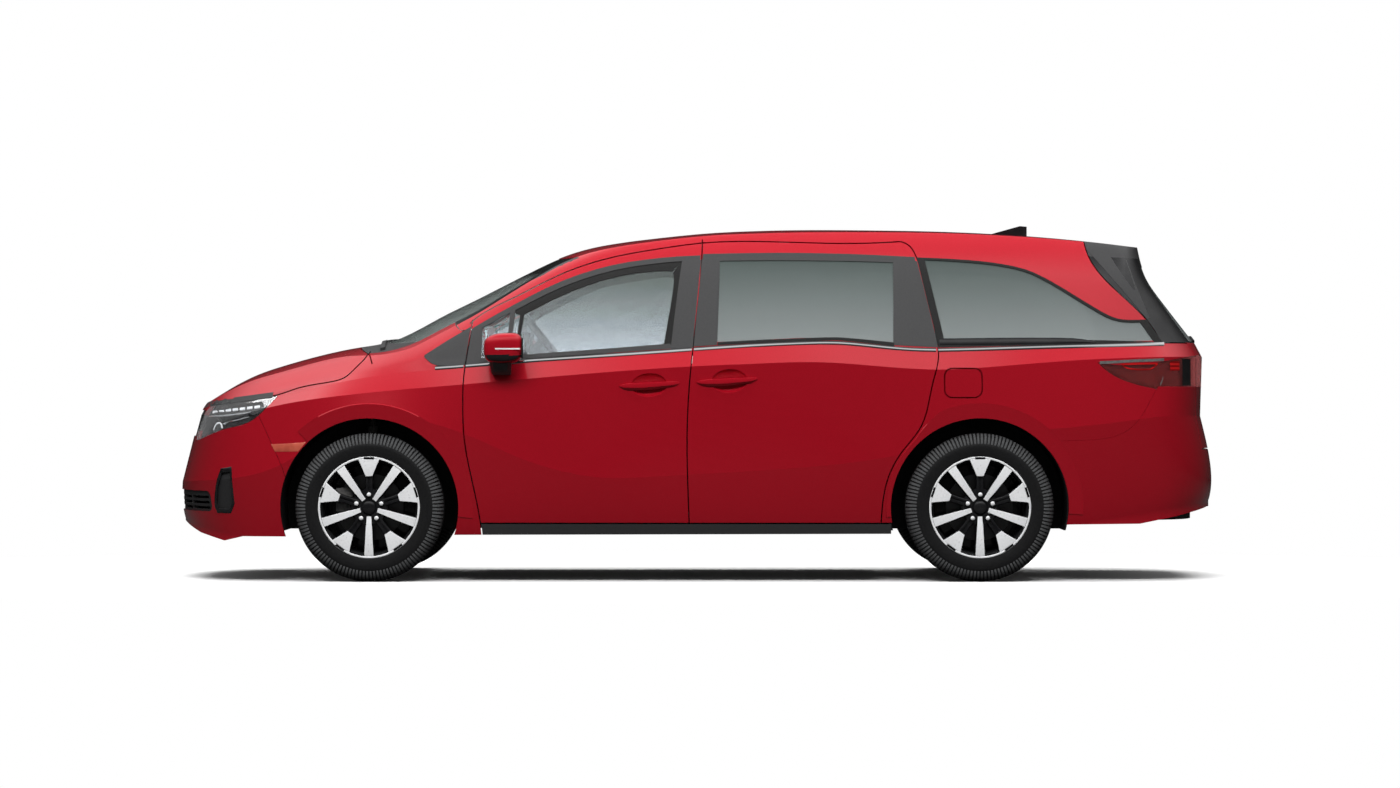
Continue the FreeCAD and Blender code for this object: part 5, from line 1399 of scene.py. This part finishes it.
def cover_mesh(name, shell_points, shell_faces, material):
    count = len(shell_points)
    points = [tuple(p) for p, _ in shell_points] + [tuple(p - n * COVER_THICK) for p, n in shell_points]
    edges = {}
    for face in shell_faces:
        for a, b in zip(face, face[1:] + face[:1]):
            edges.setdefault(frozenset((a, b)), []).append((a, b))
    faces = list(shell_faces) + [tuple(i + count for i in reversed(face)) for face in shell_faces]
    for pair in edges.values():
        if len(pair) == 1:
            a, b = pair[0]
            faces.append((b, a, a + count, b + count))
    mesh = bpy.data.meshes.new(name)
    mesh.from_pydata(points, [], faces)
    mesh.materials.append(material)
    mesh.shade_smooth()
    mesh.set_sharp_from_angle(angle=math.radians(40))
    return mesh


def lamp_bar(name, line, tall, sink, material, deep=6.0):
    line = soften(line, 3)
    rows = np.linspace(tall / 2, -tall / 2, 2 + int(tall // 9))
    grid = [[on_side(x, z + dz, -sink) for dz in rows] for x, z in line]
    return solid_mesh(name, *both_sides(*grid_slab(grid, deep)), [material])


def lamp_row(name, line, share_gap, count, tall, sink, material):
    pieces = []
    line = soften(line, 6)
    lengths = np.cumsum([0] + [np.linalg.norm(line[i + 1] - line[i]) for i in range(len(line) - 1)])

    def at(share):
        s = share * lengths[-1]
        i = min(int(np.searchsorted(lengths, s, side="right")) - 1, len(line) - 2)
        t = (s - lengths[i]) / (lengths[i + 1] - lengths[i])
        return line[i] + (line[i + 1] - line[i]) * t

    for k in range(count):
        a, b = at((k + share_gap) / count), at((k + 1 - share_gap) / count)
        grid = [[on_side(p[0], p[1] + dz, -sink) for dz in (tall / 2, -tall / 2)] for p in (a, b)]
        pieces.append(solid_mesh(name, *both_sides(*grid_slab(grid, 5.0)), [material]))
    return gathered(name, pieces)


def ring_lens(name, x, z, sink, outer, inner, material, dome, arc=(0, 360), steps=40):
    spot, normal = on_side(x, z, -sink)
    normal = Vector(normal)
    side = Vector((0, 0, 1)).cross(normal).normalized()
    up = normal.cross(side)
    points, faces = [], []
    profile = [(inner, 0), (inner, dome), ((inner + outer) / 2, dome * 1.3), (outer, dome), (outer, 0)]
    for k in range(steps + 1):
        angle = math.radians(arc[0] + (arc[1] - arc[0]) * k / steps)
        for reach, lift in profile:
            points.append(Vector(spot) + (side * math.cos(angle) + up * math.sin(angle)) * reach / 1000
                          + normal * lift / 1000)
    size = len(profile)
    for k in range(steps):
        for j in range(size):
            a, b = k * size + j, k * size + (j + 1) % size
            faces.append((a, b, b + size, a + size))
    if arc[1] - arc[0] < 360:
        faces += [tuple(range(size)), tuple(range(steps * size, steps * size + size))]
    return solid_mesh(name, *both_sides(points, faces), [material], 50)


# %% Head lamps
shell_points, shell_faces, lamp_box = lamp_shells("headlamps", 0.026, lamp_dark)
settle("lamp_covers", cover_mesh("lamp_covers", shell_points, shell_faces, lamp_cover), "body", "lamp_clear",
       "headlamps")
inside = [
    lamp_box,
    lamp_bar("backing", [(-2480, 800), (-2312, 806), (-2175, 843), (-2120, 868), (-2075, 898)], 110, 24,
             lamp_dark, 4),
    lamp_bar("brow", [(-2528, 855), (-2480, 866), (-2400, 880), (-2240, 900), (-2140, 913), (-2092, 919)],
             26, -0.7, black_plastic, 3),
    lamp_row("dashes", [(-2430, 842), (-2330, 852), (-2230, 864), (-2150, 874)], 0.16, 7, 10, 14,
             light_white),
    lamp_bar("step", [(-2470, 815), (-2340, 826), (-2200, 846)], 6, 16, chrome),
    lamp_bar("fin_low", [(-2400, 778), (-2300, 792), (-2210, 812)], 4, 18, chrome),
    ring_lens("ring", -2380, 742, 18, 44, 38, light_white, 6, (20, 175)),
    ring_lens("projector", -2380, 742, 20, 34, 2, gloss_black, 9),
]
settle("lamp_insides", gathered("lamp_insides", inside), "body", "lamp_clear", "headlamps")
print("lamp cover faces", len(shell_faces))

# %% [markdown]
# The tail lamp is a smoked red cover over a dark box, with a grey line along its top, a bright red
# wedge, a clear sliver, a red block and a black column at the corner. The part beyond the shut line
# opens with the tailgate, so it is a piece of its own, and a painted infill closes the tailgate's
# skin below it.

# %% Tail lamps
for name, body in (("tail_lamps", "body"), ("tailgate_lamps", "tailgate")):
    shell_points, shell_faces, lamp_box = lamp_shells(name, 0.016, tail_dark)
    settle(name + "_covers", cover_mesh(name + "_covers", shell_points, shell_faces, tail_cover), body,
           "lamp_red", name)
    settle(name + "_boxes", lamp_box, body, "lamp_red", name)
settle("tail_lamp_lights", gathered("tail_lamp_lights", [
    lamp_bar("tail_top", [(1984, 1077), (2070, 1081), (2150, 1086), (2230, 1089), (2306, 1092)], 14, -1.6,
             cast_metal, 4),
    lamp_bar("tail_wedge_top", [(2093, 1068), (2180, 1071), (2272, 1073)], 7, -1.0, red_lens, 3),
    lamp_bar("tail_wedge_low", [(2096, 1064), (2127, 1048), (2180, 1043), (2240, 1044)], 7, -1.0,
             red_lens, 3),
    lamp_bar("tail_wedge_end", [(2236, 1044), (2254, 1056), (2274, 1073)], 8, -1.0, red_lens, 3),
    lamp_bar("tail_clear", [(2286, 968), (2294, 984), (2301, 1004)], 14, -1.0, cast_metal, 3),
    lamp_bar("tail_block", [(2338, 1060), (2362, 1061), (2388, 1062)], 46, -1.2, red_lens, 3),
    lamp_bar("tail_column", [(2406, 1030), (2430, 1030), (2452, 1030)], 132, -0.8, gloss_black, 4),
]), "body", "lamp_red")
print("tail lamps done")


# %% Close the tailgate below its lamps
INFILL_ROWS = (958, 924, 890)
INFILL_SPAN = (412, 650)
INFILL_SINK = 0.3


def on_tail(y, z, lift):
    spot, _, index, _ = side_tree.ray_cast(Vector((4.0, -y / 1000, z / 1000)), Vector((-1, 0, 0)))
    normal = skin_direction(index, spot)
    return np.array(spot) + normal * lift / 1000, normal


infill = [[on_tail(y, z, -INFILL_SINK) for z in INFILL_ROWS] for y in np.linspace(*INFILL_SPAN, 12)]
settle("lamp_infill", solid_mesh("lamp_infill", *both_sides(*grid_slab(infill, 6.0)), [paint]), "tailgate",
       "body_paint")
print("infill rows", len(infill))


# %% [markdown]
# ## Seats
# A seat pad is foam in a sewn leather cover: a crowned centre, a firmer bolster on each side, and
# sewn channels across. Each pad starts as a few rounded blocks joined by a voxel remesh. A short
# cloth simulation with a little pressure puffs the cover, its travel is capped, and the channels
# are pressed in afterwards. One cushion and one back are simulated and then used for every seat.

# %% Rounded blocks and the cloth pass
ROUND_SHARE = 0.45
PRESSURE = 4.0
CLOTH_STEPS = 20


def pad_block(work, centre, size):
    made = bmesh.ops.create_cube(work, size=1.0)["verts"]
    bmesh.ops.scale(work, vec=size, verts=made)
    edges = list({e for v in made for e in v.link_edges})
    result = bmesh.ops.bevel(work, geom=edges, offset=min(size) * ROUND_SHARE, segments=5,
                             affect="EDGES", profile=0.5)
    verts = {v for f in result["faces"] for v in f.verts}
    bmesh.ops.translate(work, vec=centre, verts=list(verts))


def puffed(name, blocks, voxel, cap):
    work = bmesh.new()
    for centre, size in blocks:
        pad_block(work, centre, size)
    mesh = bpy.data.meshes.new(name)
    work.to_mesh(mesh)
    work.free()
    holder = in_scene(name, mesh)
    remesh = holder.modifiers.new("remesh", "REMESH")
    remesh.mode = "VOXEL"
    remesh.voxel_size = voxel
    remesh.use_smooth_shade = True
    even = evaluated_mesh(holder)
    holder.modifiers.clear()
    holder.data = even
    before = np.empty(len(even.vertices) * 3)
    even.vertices.foreach_get("co", before)
    cloth = holder.modifiers.new("cloth", "CLOTH")
    cloth.settings.use_pressure = True
    cloth.settings.uniform_pressure_force = PRESSURE
    cloth.settings.effector_weights.gravity = 0.0
    cloth.settings.quality = 4
    cloth.point_cache.frame_start = 1
    cloth.point_cache.frame_end = CLOTH_STEPS
    for step in range(1, CLOTH_STEPS + 1):
        bpy.context.scene.frame_set(step)
    swollen = evaluated_mesh(holder)
    after = np.empty(len(swollen.vertices) * 3)
    swollen.vertices.foreach_get("co", after)
    move = (after - before).reshape(-1, 3)
    reach = np.linalg.norm(move, axis=1, keepdims=True) + 1e-9
    capped = before.reshape(-1, 3) + move / reach * np.minimum(reach, cap)
    holder.modifiers.clear()
    even.vertices.foreach_set("co", capped.ravel())
    even.update()
    bpy.context.scene.frame_set(1)
    soft = holder.modifiers.new("soft", "SUBSURF")
    soft.levels = soft.render_levels = 1
    result = evaluated_mesh(holder)
    bpy.data.objects.remove(holder)
    return result


def channels(mesh, lines, along, deep, wide):
    points, normals = (np.empty(len(mesh.vertices) * 3) for _ in range(2))
    mesh.vertices.foreach_get("co", points)
    mesh.vertices.foreach_get("normal", normals)
    points, normals = points.reshape(-1, 3), normals.reshape(-1, 3)
    press = np.zeros(len(points))
    for place, limit in lines:
        press += deep * np.exp(-((points[:, along] - place) / wide) ** 2) * (np.abs(points[:, 1]) < limit)
    mesh.vertices.foreach_set("co", (points - normals * press[:, None]).ravel())
    mesh.update()


cushion = puffed("cushion", [((-0.24, 0, 0.535), (0.47, 0.30, 0.085)),
                             ((-0.24, -0.19, 0.545), (0.46, 0.10, 0.105)),
                             ((-0.24, 0.19, 0.545), (0.46, 0.10, 0.105))], 0.009, 0.012)
channels(cushion, [(-0.14, 1.0), (0.14, 1.0)], 1, 0.006, 0.006)
channels(cushion, [(-0.36, 0.14), (-0.24, 0.14), (-0.12, 0.14)], 0, 0.004, 0.006)
backrest = puffed("backrest", [((0.0, 0, 0.30), (0.075, 0.30, 0.56)),
                               ((-0.012, -0.19, 0.28), (0.095, 0.10, 0.52)),
                               ((-0.012, 0.19, 0.28), (0.095, 0.10, 0.52))], 0.009, 0.012)
channels(backrest, [(-0.14, 1.0), (0.14, 1.0)], 1, 0.006, 0.006)
channels(backrest, [(0.14, 0.14), (0.28, 0.14), (0.42, 0.14)], 2, 0.004, 0.006)
headrest = puffed("headrest", [((0.0, 0, 0.0), (0.07, 0.23, 0.15))], 0.007, 0.008)
for pad_mesh in (cushion, backrest, headrest):
    pad_mesh.materials.clear()
    pad_mesh.materials.append(leather)
print("pads", len(cushion.vertices), len(backrest.vertices), len(headrest.vertices))


# %% Place the pads and their bases
def moved(mesh, matrix):
    copy = mesh.copy()
    copy.transform(matrix)
    return copy


def seat_parts(x, y, share):
    wide = Matrix.Diagonal((1, share, 1, 1))
    lean = Matrix.Translation((x + 0.005, y, 0.585)) @ Matrix.Rotation(math.radians(14), 4, "Y")
    return [moved(cushion, Matrix.Translation((x, y, 0)) @ wide), moved(backrest, lean @ wide),
            moved(headrest, Matrix.Translation((x + 0.178, y, 1.32)))]


BASE_RUN = ((292, 0), (300, 6), (440, 10), (478, -8))
BASE_BACK, BASE_FRONT, BASE_CUT = -42, -418, 18


def seat_base(x, y, half):
    rings = []
    for z, grow in BASE_RUN:
        corners = ((BASE_FRONT, -half + 20), (BASE_FRONT + BASE_CUT, -half - grow * 0.1),
                   (BASE_BACK - BASE_CUT, -half - grow * 0.1), (BASE_BACK, -half + 20),
                   (BASE_BACK, half - 20), (BASE_BACK - BASE_CUT, half), (BASE_FRONT + BASE_CUT, half),
                   (BASE_FRONT, half - 20))
        rings.append(scaled([(x * 1000 + a, y * 1000 + b, z) for a, b in corners]))
    points, faces = loft(rings)
    return solid_mesh("seat_base", points, faces, [cabin_plastic], 25)


POST_BACK, POST_APART, POST_RADIUS = 164, 45, 7


def headrest_post(x, y, side):
    angles = [k * math.pi / 4 for k in range(8)]
    rings = [scaled([(x * 1000 + POST_BACK + POST_RADIUS * math.cos(a),
                      y * 1000 + POST_APART * side + POST_RADIUS * math.sin(a), z) for a in angles])
             for z in (1150, 1262)]
    points, faces = loft(rings)
    return solid_mesh("headrest_post", points, faces, [chrome], 40)


def seat_row(name, places, share, half, replaced):
    pads, bases = [], []
    for x, y in places:
        pads += seat_parts(x, y, share)
        bases += [seat_base(x, y, half), headrest_post(x, y, -1), headrest_post(x, y, 1)]
    mesh = gathered(name + "_pads", pads)
    mesh.shade_smooth()
    pad = settle(name + "_pads", mesh, "body", "seat_cover", replaced)
    settle(name + "_bases", gathered(name + "_bases", bases), "body", "cabin_trim", replaced)


seat_row("front_seat", [(-0.24, -0.39), (-0.24, 0.39)], 1.0, 190, "front_seats")
seat_row("middle_seat", [(0.64, -0.39), (0.64, 0.39)], 1.0, 190, "rear_seats")
seat_row("bench_seat", [(1.50, -0.25), (1.50, 0.25)], 0.96, 180, "rear_seats")
print("seats placed")


# %% [markdown]
# ## Nose and tail
# Behind the grille's slats a car has dark netting and a radiator, so no daylight shows through. A
# dark sheet behind each mouth stands for it, and a gloss rim frames the intake at each corner.

# %% Netting behind the grille
def on_nose(y, z, lift):
    spot, _, index, _ = side_tree.ray_cast(Vector((-4.0, -max(y, 0.5) / 1000, z / 1000)), Vector((1, 0, 0)))
    normal = skin_direction(index, spot)
    return np.array(spot) + normal * lift / 1000, normal


NET_SINK = 52


def nose_net(name, half, foot, top):
    grid = [[on_nose(y, z, -NET_SINK) for z in (top, foot)] for y in np.linspace(0, half, 14)]
    mesh = solid_mesh(name, *both_sides(*grid_slab(grid, 3.0)), [gloss_black])
    settle(name, mesh, "body", "black_plastic")


nose_net("lower_net", 800, 318, 450)
nose_net("upper_net", 500, 706, 848)
print("netting laid")


# %% Rim of the side intake
INTAKE_LINE = [(-2346, 556), (-2287, 565), (-2282, 487), (-2273, 379), (-2292, 335), (-2366, 335),
               (-2380, 369), (-2372, 470), (-2346, 556)]
INTAKE_MIDDLE = (-2322, 445)
RIM_SHARE = 0.80
intake_inner = [tuple(m + (v - m) * RIM_SHARE for v, m in zip(p, INTAKE_MIDDLE)) for p in INTAKE_LINE]
strip("intake_rim", INTAKE_LINE, intake_inner, gloss_black, "gloss_black", BODY, ROUND, 4.0, 20)
print("intake rims set")

# %% [markdown]
# ## The studio
# The ground is a pale sheet that fades out into a white surround, so no horizon shows. Glossy paint
# shows what stands round it: a ring of cloth that grows light towards its top and a ceiling that is
# light at its edge keep the doors a deep red and draw the bright band along the shoulders. Both show
# in reflections only, so a look through the windows still meets the white surround.

# %% Pale floor that fades out
FLOOR_HALF = 26


def mixed_surface(tree, share, share_output, one, one_output, two, two_output):
    mix = add_node(tree, "ShaderNodeMixShader")
    join(tree, share, share_output, mix, "Fac")
    join(tree, one, one_output, mix, 1)
    join(tree, two, two_output, mix, 2)
    join(tree, mix, "Shader", tree.nodes["Material Output"], "Surface")


def seen_straight(tree):
    path = add_node(tree, "ShaderNodeLightPath")
    return path, combined(tree, "MAXIMUM", path, "Is Camera Ray", path, "Is Transmission Ray")


def from_middle(tree, scale):
    squeeze = on_object(tree, "ShaderNodeMapping", Scale=scale)
    away = add_node(tree, "ShaderNodeVectorMath", operation="LENGTH")
    join(tree, squeeze, "Vector", away, 0)
    return away


def floor_material():
    material, tree, shader = new_material("studio_floor", (0.8, 0.8, 0.8), 0.9, Specular_IOR_Level=0.0)
    fade = stretched(tree, from_middle(tree, (0.55, 1.0, 1.0)), "Value", given=(1.4, 3.4), kind="SMOOTHSTEP")
    _, direct = seen_straight(tree)
    shade = add_node(tree, "ShaderNodeMix", data_type="RGBA")
    shade.inputs["A"].default_value = (0.03, 0.03, 0.03, 1)
    shade.inputs["B"].default_value = (0.93, 0.93, 0.93, 1)
    join(tree, direct, "Value", shade, "Factor")
    join(tree, shade, "Result", shader, "Base Color")
    seen_fade = combined(tree, "MULTIPLY", fade, "Result", direct, "Value")
    clear = add_node(tree, "ShaderNodeBsdfTransparent")
    mixed_surface(tree, seen_fade, "Value", shader, "BSDF", clear, "BSDF")
    return material


def stage_mesh(name, points, faces, material):
    mesh = bpy.data.meshes.new(name)
    mesh.from_pydata(points, [], faces)
    mesh.materials.append(material)
    in_scene(name, mesh)


stage_mesh("studio_floor", [(-FLOOR_HALF, -FLOOR_HALF, 0), (FLOOR_HALF, -FLOOR_HALF, 0),
                            (FLOOR_HALF, FLOOR_HALF, 0), (-FLOOR_HALF, FLOOR_HALF, 0)], [(0, 1, 2, 3)],
           floor_material())


# %% Ring of cloth, dark below and light above
RING_COUNT = 48
CLOTH_RADIUS, CLOTH_FOOT, CLOTH_TOP = 27, -0.5, 32


def reflected_only(tree, level):
    glow = add_node(tree, "ShaderNodeEmission")
    join(tree, level, "Result", glow, "Strength")
    clear = add_node(tree, "ShaderNodeBsdfTransparent")
    path = add_node(tree, "ShaderNodeLightPath")
    mirrored = combined(tree, "SUBTRACT", path, "Is Glossy Ray", path, "Is Transmission Ray")
    mirrored.use_clamp = True
    mixed_surface(tree, mirrored, "Value", clear, "BSDF", glow, "Emission")


def cloth_material():
    material, tree, _ = new_material("studio_cloth", (0.02, 0.02, 0.02), 1.0, Specular_IOR_Level=0.0)
    height = on_object(tree, "ShaderNodeSeparateXYZ")
    reflected_only(tree, stretched(tree, height, "Z", (7.0, 30.0), (0.02, 0.75), "SMOOTHSTEP"))
    return material


def ring(radius, height):
    angles = [2 * math.pi * k / RING_COUNT for k in range(RING_COUNT)]
    return [(radius * math.cos(a), radius * math.sin(a), height) for a in angles]


cloth_faces = [(k, (k + 1) % RING_COUNT, (k + 1) % RING_COUNT + RING_COUNT, k + RING_COUNT)
               for k in range(RING_COUNT)]
stage_mesh("studio_cloth", ring(CLOTH_RADIUS, CLOTH_FOOT) + ring(CLOTH_RADIUS, CLOTH_TOP), cloth_faces,
           cloth_material())


# %% Ceiling, dark overhead and lighter towards its edge
CEILING_RADIUS, CEILING_HEIGHT = 27.2, 31.9


def ceiling_material():
    material, tree, _ = new_material("studio_ceiling", (0.02, 0.02, 0.02), 1.0)
    away = from_middle(tree, (1, 1, 0))
    reflected_only(tree, stretched(tree, away, "Value", (7.0, 27.0), (0.10, 0.9), "SMOOTHSTEP"))
    return material


stage_mesh("studio_ceiling", ring(CEILING_RADIUS, CEILING_HEIGHT), [tuple(range(RING_COUNT))],
           ceiling_material())


# %% Soft boxes
def soft_box(name, place, size, watts, aim):
    data = bpy.data.lights.new(name, "AREA")
    data.shape = "RECTANGLE"
    data.size, data.size_y = size
    data.energy = watts
    lamp = in_scene(name, data)
    lamp.location = place
    lamp.rotation_euler = (Vector(aim) - Vector(place)).to_track_quat("-Z", "Y").to_euler()
    lamp.visible_glossy = False


soft_box("top_box", (0, -0.3, 6.0), (10, 4), 560, (0, 0, 0))
soft_box("near_box", (-1.0, -10.5, 10.0), (12, 3), 1750, (0, 0, 0.8))
soft_box("far_box", (-1.0, 10.5, 10.0), (12, 3), 1750, (0, 0, 0.8))

# %% White surround
world = bpy.data.worlds.new("studio")
bpy.context.scene.world = world
world.use_nodes = True
sky_tree = world.node_tree
sky = sky_tree.nodes["Background"]
sky.inputs["Color"].default_value = (1, 1, 1, 1)
sky_path, sky_direct = seen_straight(sky_tree)
sky_seen = combined(sky_tree, "MAXIMUM", sky_direct, "Value", sky_path, "Is Glossy Ray")
join(sky_tree, stretched(sky_tree, sky_seen, "Value", wanted=(0.35, 1.0)), "Result", sky, "Strength")
print("studio ready")
